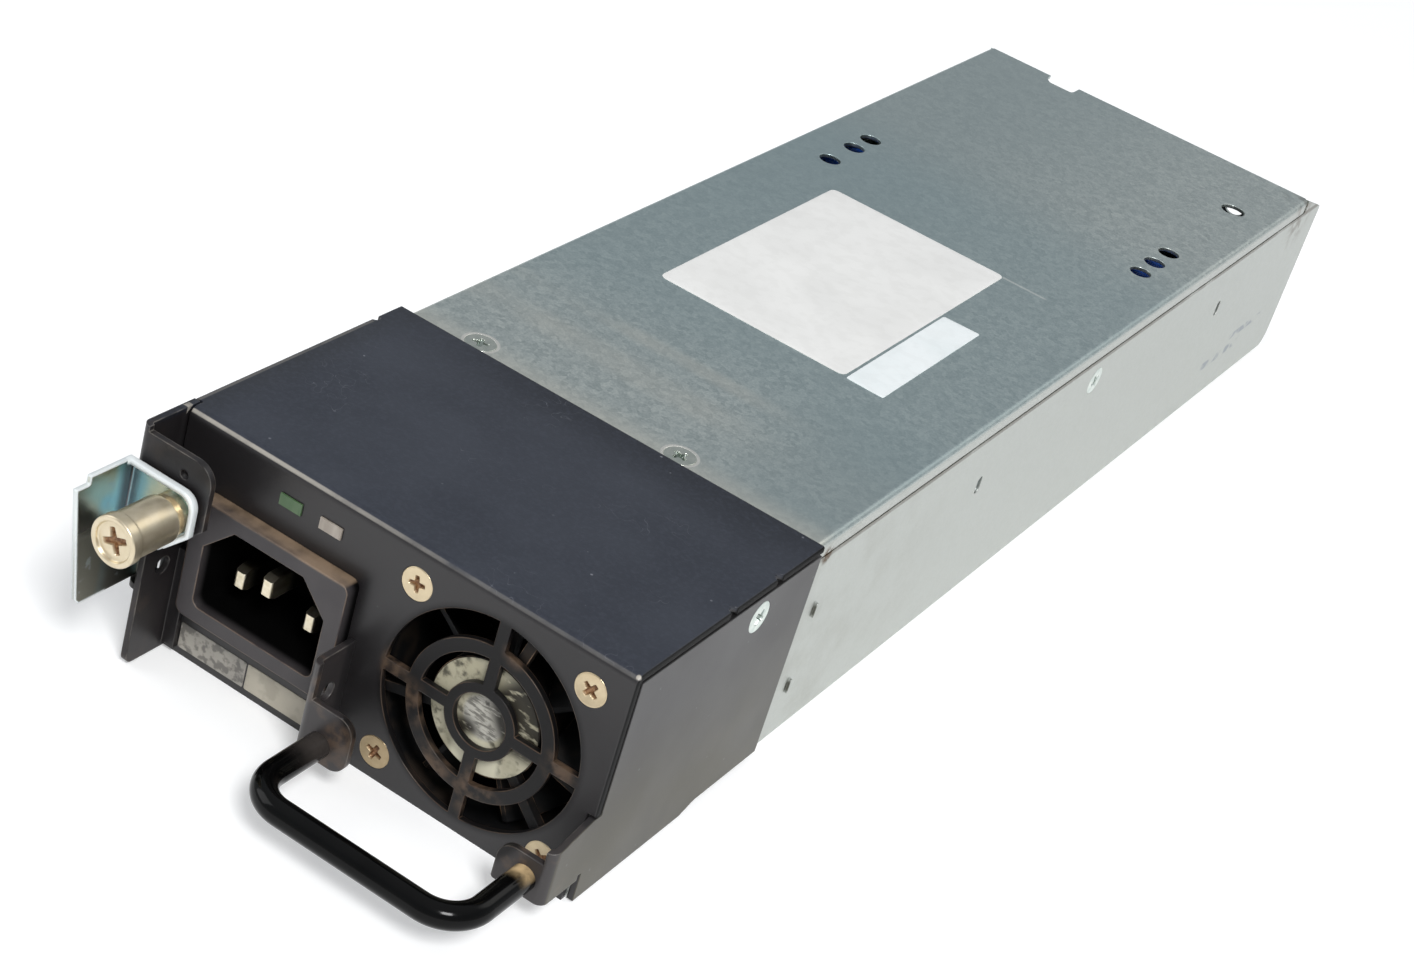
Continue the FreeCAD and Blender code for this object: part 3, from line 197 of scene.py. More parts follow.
def galvanised_steel():
    """Skin-passed galvanised sheet: zinc rolled to a fine even grain, grey-green and dull, with rolling lines.

    Its top carries painted reflections, darker bluer fields and paler bands at its front, and a painted
    highlight on its screw seats; its walls are smudged, with dirt in corners and a painted shadow under the
    cover's edge.
    """
    made, tree, place = new_finish("galvanised_steel", Metallic=1.0)
    x, y, z = add(tree, "SeparateXYZ", {0: place})
    outer = add(tree, "Math", {0: x}, operation="ABSOLUTE")[0]
    top = overlap(tree, (z, 41, 41.8))
    side = overlap(tree, (outer, 41.2, 41.7), (z, 41.4, 41.0))

    # Grain and flat crystals, drawn coarser than the real ones so that they show
    grain = add(tree, "TexNoise", {"Vector": place, "Scale": per(0.45), "Detail": 4.0})[0]
    cell = add(tree, "TexVoronoi", {"Vector": place, "Scale": per(1.1)})["Color"]
    flake = add(tree, "SeparateColor", {0: cell})[0]
    blend = add(tree, "Mix", {0: 0.22, 2: grain, 3: flake})[0]
    zinc = add(tree, "ValToRGB", {0: blend}, ((0.25, "#adb7b4"), (0.5, "#c0c8c5"), (0.75, "#d2d8d3")))[0]

    # Painted reflections on the top: darker, bluer fields and paler bands across its front; greyer walls
    far_left = overlap(tree, (y, 70, 220), (x, 35, -30))
    near_right = overlap(tree, (y, 110, 85), (x, 5, 35))
    cool = overlap(tree, either(tree, far_left, near_right), top, 0.6)
    middle = overlap(tree, (y, 105, 190, 35), top, 0.35)
    wall = overlap(tree, side, 0.8)
    near = overlap(tree, (y, 64, 55), 0.68)
    band = either(tree, (y, 74, 76, 5), (y, 86, 87, 3))
    bands = overlap(tree, band, (x, 30, 0), patches(tree, place, 30, 0.3, 0.7), 0.45)
    pale = overlap(tree, either(tree, near, bands), top)

    # Painted highlight on the screw seats and a rub beside the label; painted shadow under the cover's edge,
    # and dark sides of the wall's stops
    seats = either(tree, *(spot(tree, place, seat, 3.3, 0.2) for seat in COVER_SEATS))
    dished = overlap(tree, seats, top, 0.75)
    seam_shadow = overlap(tree, (z, 38.2, 38.9, 0.5), side, patches(tree, place, 15, 0.15, 0.5), 0.75)
    rub = overlap(tree, (y, 174.8, 175.1, 0.4), (x, 16.5, 25, 1.5), top, 0.6)
    stop_level = either(tree, (z, 26.2, 27.4, 0.8), (z, 10.5, 11.7, 0.8))
    stop_sides = overlap(tree, (y, 61.6, 62.3, 0.15), (x, 41.9, 41.97), stop_level, 0.9)

    # Smudges, brown dirt at the corners and along the left edge, and two soft rows of blotches on the right
    smudge = overlap(tree, side, (y, 130, 62), patches(tree, place, 9, 0.4, 0.7), 0.25)
    rear = spot(tree, place, (42.0, 282.0, 37.5), 2.5, 6.0)
    rear = overlap(tree, rear, patches(tree, place, 2.5, 0.42, 0.6), 0.5)
    joint = spot(tree, place, (42.0, 60.2, 38.6), 0.9, 1.3)
    joint = overlap(tree, joint, patches(tree, place, 0.9, 0.3, 0.5))
    left_edge = overlap(tree, (x, -41.3, -41.7), (z, 40.6, 41.2), (y, 230, 70), 0.7)
    dirt = either(tree, rear, joint, left_edge)
    upper_row = overlap(tree, (z, 12.5, 13.6, 0.5), (y, 263, 280, 2.0))
    lower_row = overlap(tree, (z, 9.1, 10.5, 0.6), (y, 249, 270, 2.0))
    smear = overlap(tree, either(tree, upper_row, lower_row), (x, 41.2, 41.8),
                    patches(tree, place, 2.4, 0.4, 0.6, 1.0, (1, 0.7, 1)), 0.62)

    sheet = layered(tree, zinc, (cool, "#a4b3b4"), (middle, "#93aeb4"), (wall, "#b6b8b3"), (pale, "#e2dfd3"),
                    (dished, "#f4f0e8"), (seam_shadow, "#6f6b62"), (rub, "#eef0ea"), (stop_sides, "#65655c"),
                    (smudge, "#8f8f85"), (dirt, "#5a4833"), (smear, "#747d8e"))
    dull = add(tree, "MapRange", {"Value": flake, "To Min": 0.38, "To Max": 0.46})[0]
    lines = patches(tree, place, 1.2, 0.2, 0.8, 3.0, (1, 0.04, 1))
    height = add(tree, "Mix", {0: 0.25, 2: grain, 3: lines})[0]
    return finished(made, height, 0.02, 0.5, edges_of(tree, 0.3)[0], Base_Color=sheet, Roughness=dull)


def powder_coat():
    """Black powder coat baked on steel: satin, with a fine orange peel, pale where edges rubbed through.

    Its top is bluer, a painted reflection, with painted shade darker at its left and rear; the left pieces
    ahead of the face are painted darker as shade; its right flank is olive low down, dust lies in the grille,
    and a painted shadow lies in the gaps along its edges.
    """
    made, tree, place = new_finish("black_powder_coat", IOR=1.53)
    x, y, z = add(tree, "SeparateXYZ", {0: place})
    outer = add(tree, "Math", {0: x}, operation="ABSOLUTE")[0]
    eased, edge = edges_of(tree, 0.35)
    cloud = patches(tree, place, 22, 0.3, 0.7)
    upper = overlap(tree, (z, 42.2, 42.8))

    # Tones of the face, the top with its painted bluer reflection, the pieces ahead of the face, the left wing
    # painted darker as shade, the right flank, and painted shade on the top's left and rear
    black = layered(tree, "#1d1b1c", (cloud, "#242223"))
    bluer = layered(tree, "#1c202b", (cloud, "#272b35"))
    ahead = overlap(tree, (y, -1.5, -2.5), either(tree, (z, 36, 28), (x, -30, -20)), 0.85)
    wing = overlap(tree, (x, -28, -30), (y, -0.5, -1.5))
    flank = overlap(tree, (x, 42.9, 43.0), patches(tree, place, 24, 0.1, 0.6), (z, 36, 4), 0.85)
    rear_band = overlap(tree, (y, 40, 55.5), (x, -44, -5, 0.45, 1.0), upper)
    rear_corner = spot(tree, place, (-42, 55, 43), 2.0, 9.0)
    top_rear_shade = overlap(tree, either(tree, (x, -36, -42.5), rear_corner, rear_band), upper, 0.6)
    grain = overlap(tree, patches(tree, place, 0.7, 0.4, 0.75), upper, 0.35)

    # Grille: darker coat, soot on its edges and brown dust where air slows; dust on what stands ahead
    in_grille = overlap(tree, (from_axis(tree, place, FAN_X, FAN_Z), 19.5, 17.8), (y, 2.0, 1.2))
    soot = overlap(tree, in_grille, edge, patches(tree, place, 6.0, 0.35, 0.6), 0.55)
    settled = either(tree, *(spot(tree, place, (u, 0.3, v), size, fade) for u, v, size, fade in (
        (3.1, 21.1, 1.0, 3.5), (7.4, 16.8, 1.5, 4.0), (14.1, 8.4, 1.5, 4.0), (22.8, 8.3, 2.0, 4.0),
        (35.3, 21.1, 0.8, 3.5), (23.2, 34.9, 0.5, 2.5))))
    film = overlap(tree, in_grille, settled, patches(tree, place, 2.5, 0.34, 0.66), 0.62)
    outward = overlap(tree, (y, -2.5, -8.0), patches(tree, place, 4.0, 0.5, 0.68), (x, -30, -26, 0.08, 0.4))
    handled = either(tree, *(spot(tree, place, centre, size, 2.4) for centre, size in (
        ((-2.0, -9.0, 17.8), 0.6), ((3.2, -9.4, 11.2), 1.4), ((30.5, -9.4, 11.6), 0.6))))
    handled = overlap(tree, handled, patches(tree, place, 1.5, 0.3, 0.6), 0.5)
    dust = either(tree, soot, film, outward, handled)

    # Pale specks about 4 mm apart, and thin scuffs where two steps of one noise overlap
    seed = add(tree, "TexVoronoi", {"Vector": place, "Scale": per(4)})
    dot = add(tree, "MapRange", {"Value": seed["Distance"], "From Min": 0.07, "From Max": 0.04})[0]
    chance = add(tree, "SeparateColor", {0: seed["Color"]})[0]
    kept = add(tree, "MapRange", {"Value": chance, "From Min": 0.6, "From Max": 0.9})[0]
    thin = overlap(tree, patches(tree, place, 3.0, 0.495, 0.5, 1.0), patches(tree, place, 3.0, 0.505, 0.5, 1.0))
    scuff = overlap(tree, thin, patches(tree, place, 16, 0.56, 0.66), upper, 0.3)
    specks = either(tree, overlap(tree, dot, kept, 0.5), scuff)

    # Rubbed front and left folds, a chip at the right corner, and the wing's rubbed edges
    below = add(tree, "Math", {0: FRONT_TOP * MM, 1: z}, operation="SUBTRACT")[0]
    fold = add(tree, "Math", {0: y, 1: below}, operation="ADD")[0]
    front_rub = overlap(tree, (fold, 1.02, 0.955), (y, -0.4, -0.1), patches(tree, place, 6, 0.2, 0.55),
                        (x, 20, -38, 0.16, 0.85))
    from_left = add(tree, "Math", {0: x, 1: FRONT_SIDE * MM}, operation="ADD")[0]
    left_fold = add(tree, "Math", {0: from_left, 1: below}, operation="ADD")[0]
    left_rub = overlap(tree, (left_fold, 0.45, 0.75, 0.2), (y, 3, 46.5, 0.5),
                       patches(tree, place, 9, 0.2, 0.5), 0.2)
    chip = spot(tree, place, (42.6, 0.75, 42.6), 0.3, 0.25)
    wing_rub = overlap(tree, edge, (y, -0.6, -2.0), patches(tree, place, 4, 0.35, 0.65), 0.3)
    worn = either(tree, front_rub, left_rub, chip, wing_rub)

    # Painted shadow, matt, in the gaps along the top of the sides and down the face's side edges, apart from
    # the chip
    low_gap = overlap(tree, (y, 1.5, 1.2), (z, 16.4, 16.9))
    unchipped = add(tree, "Math", {0: 1.0, 1: chip}, operation="SUBTRACT")[0]
    gap_shadow = overlap(tree, (outer, 42.7, 42.95), (y, -0.2, 0.1), either(tree, (z, 41.4, 41.8), low_gap),
                       unchipped)

    coat = layered(tree, black, (upper, bluer), (ahead, "#343030"), (overlap(tree, wing, 0.65), "#1c191a"),
                   (flank, "#454130"), (top_rear_shade, "#12141a"), (grain, "#343843"),
                   (overlap(tree, in_grille, 0.75), "#0c0b0b"), (dust, "#6a5645"), (specks, "#8b8d94"),
                   (worn, "#a8a298"), (gap_shadow, "#050505"))
    satin = add(tree, "MapRange", {"Value": cloud, "To Min": 0.35, "To Max": 0.43})[0]
    dull = either(tree, in_grille, overlap(tree, either(tree, wing, rear_band), 0.8))
    sheen = add(tree, "MapRange", {"Value": dull, "To Min": 0.5, "To Max": 0.25})[0]
    peel = add(tree, "TexNoise", {"Vector": place, "Scale": per(0.5), "Detail": 2.0})[0]
    return finished(made, peel, 0.02, 0.4, eased, Base_Color=coat,
                    Roughness=either(tree, satin, gap_shadow), Specular_IOR_Level=sheen)


def black_enamel():
    """Black stoving enamel on a bent rod: glossy and even.

    It is dusty towards its left end, and rubbed to warm metal where the right end enters its flange; there the
    rod's top also carries a painted cream highlight.
    """
    made, tree, place = new_finish("black_enamel", Roughness=0.13, Specular_IOR_Level=0.16)
    x, y, z = add(tree, "SeparateXYZ", {0: place})
    dusty = overlap(tree, (y, -18.5, -11), (x, 10, 8), patches(tree, place, 4, 0.1, 0.6), 0.8)
    # Warm rubbed metal at the right end, kept to the rod's top, where it also stands for a painted cream
    # highlight
    rubbed = overlap(tree, (y, -13.6, -10.6), (z, 8.6, 10.2), (x, 20, 21),
                     patches(tree, place, 3.0, 0.2, 0.75), 0.95)
    paint = layered(tree, "#030303", (patches(tree, place, 12, 0.35, 0.65), "#070707"),
                    (dusty, "#403b38"), (rubbed, "#c9ad82"))
    ripple = add(tree, "TexNoise", {"Vector": place, "Scale": per(1.6), "Detail": 1.0})[0]
    return finished(made, ripple, 0.01, 0.25, Base_Color=paint)


def zinc_plate():
    """Bright zinc plating with a clear passivation: mirror-like, with blue and straw clouds.

    Its blue and straw clouds are partly passivation and partly painted reflections; its rims and cut faces
    carry a painted milky highlight, and low on the finger wall of the lever it is dull and painted darker as
    shade.
    """
    made, tree, place = new_finish("zinc_plate")
    x, y, z = add(tree, "SeparateXYZ", {0: place})
    eased, edge = edges_of(tree, 0.7, 0.01, 0.06)
    wall = overlap(tree, (x, -42.0, -42.2))
    # Low on the finger wall: duller, and painted darker as shade
    low = overlap(tree, wall, (z, 28.5, 25.5))

    # Rim of the lever's plate: upper and right sides, slanted corner and the bend between them
    slant = add(tree, "Math", {0: z, 1: x}, operation="SUBTRACT")[0]
    corner = overlap(tree, (slant, 60.9, 60.6), (z, 24.0, 24.5))
    bend = overlap(tree, (from_axis(tree, place, -32.15, 34.7), 2.1, 2.3), (x, -32.3, -32.0), (z, 34.6, 34.8))
    rim = overlap(tree, either(tree, (z, 36.8, 37.0), (x, -30.1, -29.9), corner, bend), (y, -12.0, -9.4, 0.2))
    eased_rim = overlap(tree, edge, either(tree, (y, -11.6, -12.4), (z, 36.2, 36.6), (x, -41.0, -40.4)))

    # Cut faces of the finger wall: leaning front, top and step
    lean = add(tree, "Math", {0: z, 1: 0.1864, 2: y}, operation="MULTIPLY_ADD")[0]
    step = overlap(tree, (z, 36.17, 36.23, 0.02), (y, -19.8, -19.95))
    cut = overlap(tree, wall, either(tree, (lean, -15.97, -16.02), (z, 37.62, 37.68), step),
                  (z, 18, 32, 0.35, 0.8))
    # Painted highlight: rims and cut faces laid milky pale and less metallic
    milky = either(tree, eased_rim, rim, cut)

    # Blue and straw clouds, partly passivation and partly painted reflections; on the finger wall a painted
    # shade by the plate, a paler band beyond it, a painted blue reflection and painted shade low down
    cloud = patches(tree, place, 6, 0.38, 0.6, 2.0)
    tint = layered(
        tree, "#9cc3cc", (cloud, "#cfd0bd"),
        (overlap(tree, (x, -38.0, -40.5), 0.8), "#9cc2cb"),
        (overlap(tree, wall, (y, -14.0, -11.5)), "#5f6064"),
        (overlap(tree, wall, (y, -13.0, -15.0)), "#b5b7a9"),
        (overlap(tree, spot(tree, place, (-42.2, -15.2, 31.0), 0.5, 2.3), 0.6), "#86b9cc"),
        (overlap(tree, low, 0.8), "#77756a"),
        (patches(tree, place, 2.2, 0.6, 0.75), "#aab2b0"), (milky, "#f0f5f5"))
    metal = add(tree, "MapRange", {"Value": milky, "To Min": 1.0, "To Max": 0.3})[0]
    worn = either(tree, overlap(tree, cloud, 0.2), milky, low)
    dull = add(tree, "MapRange", {"Value": worn, "To Min": 0.2, "To Max": 0.5})[0]
    draw = patches(tree, place, 0.8, 0.2, 0.8, 3.0, (1, 0.1, 1))
    return finished(made, draw, 0.012, 0.4, eased, Base_Color=tint, Metallic=metal, Roughness=dull)


def warm_nickel():
    """Nickel plating over brass: warm cream, satin from tumbling, with brown tarnish in the drive recess.

    The knob is paler; of the fan screws, the two on the right and the upper left one are paler, and the lower
    left one is darker.
    """
    made, tree, place = new_finish("warm_nickel")
    x, y, _ = add(tree, "SeparateXYZ", {0: place})
    deep = add(tree, "Attribute", attribute_name="recess")["Fac"]
    cloud = patches(tree, place, 1.6, 0.3, 0.7)
    knob = layered(tree, "#d3c5a8", (cloud, "#dccfb5"))
    upper_left = overlap(tree, spot(tree, place, fan_corner(-1, 1), 3.0, 1.0), 0.5)
    right = overlap(tree, spot(tree, place, fan_corner(1, 0), 17.0, 4.0), (x, 30, 32), 0.35)
    lower_left = overlap(tree, spot(tree, place, fan_corner(-1, -1), 3.0, 1.0), 0.5)
    stain = layered(tree, "#6b4529", (patches(tree, place, 0.5, 0.35, 0.65), "#96714c"))
    plated = layered(tree, "#bba784", (cloud, "#cbb896"), ((y, -5, -8), knob),
                     (either(tree, upper_left, right), "#e2d3b5"), (lower_left, "#8f7c60"), (deep, stain))
    metal = add(tree, "MapRange", {"Value": deep, "To Min": 0.85, "To Max": 0.2})[0]
    dull = add(tree, "MapRange", {"Value": cloud, "To Min": 0.3, "To Max": 0.34})[0]
    # Lathe rings, drawn coarser than the real ones so that they show
    lathe = patches(tree, place, 0.5, 0.2, 0.8, 1.0, (0.02, 1, 0.02))
    return finished(made, lathe, 0.003, 0.3, Base_Color=plated, Metallic=metal, Roughness=dull)


def zinc_flake():
    """Barrel-plated zinc on small screws: pale grey-green, satin, darker on the top and in the recess."""
    made, tree, place = new_finish("zinc_flake", Metallic=1.0, Roughness=0.3)
    z = add(tree, "SeparateXYZ", {0: place})[2]
    deep = add(tree, "Attribute", attribute_name="recess")["Fac"]
    plated = layered(tree, "#c4cfc9", (patches(tree, place, 1.4, 0.3, 0.7), "#dde3dd"),
                     (overlap(tree, (z, 41.0, 41.5), 0.45), "#b3b1a2"), (deep, "#9aa49d"))
    fine = add(tree, "TexNoise", {"Vector": place, "Scale": per(0.25), "Detail": 2.0})[0]
    return finished(made, fine, 0.012, 0.4, Base_Color=plated)


# Finishes of the fan, the inlet and the lamps

def fan_moulding():
    """Glass-filled black PBT, moulded: dull black, with brown dust that air left along the blade edges."""
    made, tree, place = new_finish("fan_moulding", Roughness=0.6, Specular_IOR_Level=0.25)
    eased, edge = edges_of(tree, 0.3)
    on_edges = add(tree, "MapRange", {"Value": edge, "To Min": 0.06})[0]
    dust = overlap(tree, patches(tree, place, 5.0, 0.45, 0.65), on_edges, 0.9)
    tone = layered(tree, "#0a0a0b", (dust, "#8f765f"))
    fine = add(tree, "TexNoise", {"Vector": place, "Scale": per(0.4), "Detail": 3.0})[0]
    return finished(made, fine, 0.02, 0.4, eased, Base_Color=tone)


def inlet_nylon():
    """Black nylon, moulded: fine spark texture, with settled brown dust on the ledge over the socket.

    Down in the socket it is matt, and painted near black as shade.
    """
    made, tree, place = new_finish("inlet_nylon")
    _, y, z = add(tree, "SeparateXYZ", {0: place})
    eased, edge = edges_of(tree, 0.4)
    socket = (y, -2.9, -0.5)
    ledge = overlap(tree, (z, 31.2, 31.65), patches(tree, place, 6.0, 0.1, 0.6), 0.78)
    rim = overlap(tree, edge, (y, -1.5, -2.4), patches(tree, place, 5.0, 0.35, 0.6), 0.5)
    # The near black down in the socket is painted shade
    tone = layered(tree, "#343032", (patches(tree, place, 6, 0.3, 0.7), "#3c3839"), (socket, "#020202"),
                   (either(tree, ledge, rim), "#8f7a65"))
    spark = add(tree, "TexNoise", {"Vector": place, "Scale": per(0.3), "Detail": 2.0})[0]
    return finished(made, spark, 0.02, 0.5, eased, Base_Color=tone,
                    Roughness=overlap(tree, (*socket, 0.46, 0.9)),
                    Specular_IOR_Level=overlap(tree, (*socket, 0.5, 0.05)))


def tinned_brass():
    """Tinned brass contacts: pale golden tips where plugs rub, tarnished dark behind them."""
    made, tree, place = new_finish("tinned_brass", Metallic=1.0, Roughness=0.32)
    y = add(tree, "SeparateXYZ", {0: place})[1]
    marks = patches(tree, place, 0.7, 0.2, 0.8, 3.0, (1, 0.08, 1))
    tarnish = overlap(tree, (y, 2.0, 4.5), (y, 60, 40), 0.9)
    tone = layered(tree, "#d9cdb0", (marks, "#eee5d0"), (tarnish, "#4a4232"))
    return finished(made, marks, 0.01, 0.3, Base_Color=tone)


def lens_acrylic(name, core, rim):
    """Tinted acrylic lamp lens, moulded: glossy skin over a milky body with faint ribs of the light pipe."""
    made, tree, place = new_finish(name, Roughness=0.3, Transmission_Weight=0.1, IOR=1.49)
    ribs = patches(tree, place, 1.2, 0.3, 0.7, 1.0, (1, 1, 0.2))
    return finished(made, ribs, 0.02, 0.3, Base_Color=layered(tree, core, (ribs, rim)))


def label_film(name, pale, shade, grime, dirt="#6d6557", size_mm=3.0):
    """Printed-label film of white polyester: satin and even, a little yellowed, with handling marks."""
    made, tree, place = new_finish(name, Roughness=0.42)
    marks = overlap(tree, patches(tree, place, size_mm, 0.46, 0.6), grime)
    tone = layered(tree, pale, (patches(tree, place, 14, 0.3, 0.7), shade), (marks, dirt))
    fibre = add(tree, "TexNoise", {"Vector": place, "Scale": per(0.6), "Detail": 3.0})[0]
    return finished(made, fibre, 0.008, 0.3, Base_Color=tone)


def hub_film():
    """Label film of the fan hub: yellowed and dusty, grimed on the right and wiped clean at the bottom."""
    made, tree, place = new_finish("hub_film", Roughness=0.5, Specular_IOR_Level=0.3)
    wiped = spot(tree, place, (20.5, 1.4, 12.6), 3.6, 2.0)
    middle = spot(tree, place, (FAN_X, 1.4, FAN_Z), 3.4, 0.8)
    scratch = overlap(tree, middle, patches(tree, place, 0.7, 0.44, 0.6, 3.0, (0.3, 1, 1.3)), 0.7)
    grime = either(tree, spot(tree, place, (27.6, 1.4, 24.6), 5.2, 3.2),
                   spot(tree, place, (17.6, 1.4, 17.0), 1.2, 2.4))
    streak = overlap(tree, grime, patches(tree, place, 1.3, 0.32, 0.46, 3.0, (0.45, 1, 1.2)))
    fleck = overlap(tree, patches(tree, place, 1.4, 0.44, 0.68), patches(tree, place, 5, 0.36, 0.54), 0.85)
    unwiped = add(tree, "Math", {0: 1.0, 1: wiped}, operation="SUBTRACT")[0]
    dirt = overlap(tree, either(tree, streak, fleck, scratch), unwiped, 0.95)
    tone = layered(tree, "#a8a28a", (patches(tree, place, 6, 0.3, 0.7), "#bdb7a0"), (wiped, "#d9d4bc"),
                   (middle, "#bcb9af"), (dirt, "#211d18"))
    fibre = add(tree, "TexNoise", {"Vector": place, "Scale": per(0.6), "Detail": 3.0})[0]
    return finished(made, fibre, 0.008, 0.3, Base_Color=tone)


# Finishes inside the case

def solder_mask():
    """Glass-epoxy board under green solder mask: the copper tracks show as lighter bands below the lacquer."""
    made, tree, place = new_finish("solder_mask", Roughness=0.32)
    cells = add(tree, "TexVoronoi", {"Vector": place, "Scale": per(7)}, distance="CHEBYCHEV")["Color"]
    track = add(tree, "SeparateColor", {0: cells})[0]
    weave = add(tree, "TexNoise", {"Vector": place, "Scale": per(0.8), "Detail": 1.0})[0]
    return finished(made, weave, 0.02, 0.3, Base_Color=layered(tree, "#12402a", (track, "#2c6a48")))


def winding_copper():
    """Enamelled copper wire in close turns: reddish gloss with a dark line between turns.

    Turns of 1.1 mm are drawn about six times as far apart, so that they show.
    """
    made, tree, place = new_finish("winding_copper", Metallic=1.0, Roughness=0.3)
    bands = {"Vector": place, "Scale": per(1.1) / 20, "Distortion": 1.5, "Detail": 1.0}
    turns = add(tree, "TexWave", bands)[1]
    return finished(made, turns, 0.25, 0.7, Base_Color=layered(tree, "#6e3418", (turns, "#c4733d")))


def ferrite():
    """Pressed and fired ferrite: matt charcoal with a fine sintered grain."""
    made, tree, place = new_finish("ferrite", Roughness=0.62)
    tone = layered(tree, "#232326", (patches(tree, place, 1.2, 0.3, 0.7), "#35353a"))
    grain = add(tree, "TexNoise", {"Vector": place, "Scale": per(0.35), "Detail": 3.0})[0]
    return finished(made, grain, 0.03, 0.5, Base_Color=tone)


def drawn_aluminium():
    """Extruded aluminium: pale metal with die lines along its length."""
    made, tree, place = new_finish("drawn_aluminium", Metallic=1.0, Roughness=0.36)
    lines = patches(tree, place, 0.9, 0.2, 0.8, 3.0, (1, 0.03, 1))
    return finished(made, lines, 0.02, 0.5, Base_Color=layered(tree, "#a4a7ab", (lines, "#c6c8ca")))


def moulded_shell(name, dark, pale, roughness):
    """Moulded or shrunk plastic of a component: even colour with slight flow clouds and a soft sheen."""
    made, tree, place = new_finish(name, Roughness=roughness)
    tone = layered(tree, dark, (patches(tree, place, 5, 0.3, 0.7), pale))
    skin = add(tree, "TexNoise", {"Vector": place, "Scale": per(0.5), "Detail": 2.0})[0]
    return finished(made, skin, 0.015, 0.4, Base_Color=tone)


def lead_sleeve():
    """PVC-insulated leads: brown, green and blue from left to right as in mains wiring, and red at the fan."""
    made, tree, place = new_finish("lead_sleeve", Roughness=0.4)
    x = add(tree, "SeparateXYZ", {0: place})[0]
    soil = overlap(tree, patches(tree, place, 4, 0.4, 0.7), 0.3)
    tone = layered(tree, "#5a3420", ((x, -24.0, -23.5), "#4c7a34"), ((x, -17.0, -16.5), "#23407c"),
                   (soil, "#101014"), ((x, 0, 1), "#8f2a26"))
    skin = add(tree, "TexNoise", {"Vector": place, "Scale": per(0.9), "Detail": 1.0})[0]
    return finished(made, skin, 0.02, 0.3, Base_Color=tone)


nickel, flake = warm_nickel(), zinc_flake()
FINISHES = {
    galvanised_steel(): ("base_tray", "top_cover", "rear_panel", "cover_brace"),
    powder_coat(): ("front_cover", "right_side_plate", "left_side_plate", "lever_bracket", "handle_bracket"),
    black_enamel(): ("handle",),
    zinc_plate(): ("ejector_lever", "standoffs"),
    nickel: ("lever_pin", "captive_ferrule", "captive_screw", "fan_screws", "board_screws"),
    flake: ("cover_screws", "side_screws"),
    fan_moulding(): ("fan_frame", "fan_rotor"),
    inlet_nylon(): ("inlet_housing",),
    tinned_brass(): ("inlet_pins", "output_contacts"),
    lens_acrylic("green_acrylic", "#486442", "#566e4e"): ("status_lens_input",),
    lens_acrylic("clear_acrylic", "#9c9287", "#b0a79c"): ("status_lens_output",),
    moulded_shell("polyester_film", "#b9b08e", "#cfc8ab", 0.35): ("insulator_sheet",),
    solder_mask(): ("main_board", "control_board"),
    lead_sleeve(): ("inlet_leads", "fan_lead"),
    winding_copper(): ("boost_choke_winding", "transformer_winding", "filter_choke", "fan_motor"),
    ferrite(): ("boost_choke_core", "transformer_core"),
    drawn_aluminium(): ("left_heatsink", "right_heatsink"),
    moulded_shell("moulded_epoxy", "#161618", "#202023", 0.5): (
        "power_transistors", "bridge_rectifier", "output_connector"),
    moulded_shell("cast_resin_box", "#b5962f", "#cbb04f", 0.4): ("x_capacitor",),
    moulded_shell("shrunk_pvc_sleeve", "#173a80", "#2450a4", 0.3): ("bulk_capacitors", "output_capacitors"),
}
for finish, names in FINISHES.items():
    for name in names:
        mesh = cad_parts[name].data
        mesh.materials.clear()
        mesh.materials.append(finish)


# Surfaces of the added pieces

def ring_faces(rows, columns):
    """Quads of a grid of rows by columns that closes round its columns."""
    row, column = np.meshgrid(np.arange(rows - 1), np.arange(columns), indexing="ij")
    after = (column + 1) % columns
    corners = (row * columns + column, row * columns + after,
               (row + 1) * columns + after, (row + 1) * columns + column)
    return np.stack(corners, -1).reshape(-1, 4)


MERGE_REACH, SHARP_DEGREES = 1e-7, 35


def new_piece(name, points, finish, body, tone=None, replaced=()):
    """Closed mesh from stacks of rings (count, rows, columns, 3), poles merged, normals outward."""
    count, rows, columns, _ = points.shape
    one = ring_faces(rows, columns)
    faces = (one[None] + (np.arange(count) * rows * columns)[:, None, None]).reshape(-1, 4)
    mesh = bpy.data.meshes.new(name)
    mesh.from_pydata(points.reshape(-1, 3).tolist(), [], faces.tolist())
    if tone is not None:
        layer = mesh.attributes.new("recess", "FLOAT", "POINT")
        layer.data.foreach_set("value", np.ascontiguousarray(tone, np.float32).ravel())
    work = bmesh.new()
    work.from_mesh(mesh)
    bmesh.ops.remove_doubles(work, verts=work.verts, dist=MERGE_REACH)
    bmesh.ops.recalc_face_normals(work, faces=work.faces)
    work.to_mesh(mesh)
    work.free()
    mesh.shade_smooth()
    mesh.set_sharp_from_angle(angle=math.radians(SHARP_DEGREES))
    mesh.materials.append(finish)
    piece = bpy.data.objects.new(name, mesh)
    bpy.context.scene.collection.objects.link(piece)
    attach(piece, body)
    if replaced:
        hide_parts(*replaced)
    return piece


def thin_sheet(name, outline, middle, shares, heights, place, finish):
    """Thin sheet: an outline shrunk in rings to its middle, on its face and behind.

    outline and middle are (u, v) in mm; each ring is a share of the outline at a height in mm;
    place turns u, v and height arrays in mm into points.
    """
    flat = middle + np.array(shares)[:, None, None] * (outline - middle)[None]
    lifted = np.broadcast_to(np.array(heights)[:, None], flat.shape[:2])
    points = np.stack(place(flat[..., 0], flat[..., 1], lifted), -1) * MM
    return new_piece(name, points[None], finish, "case")


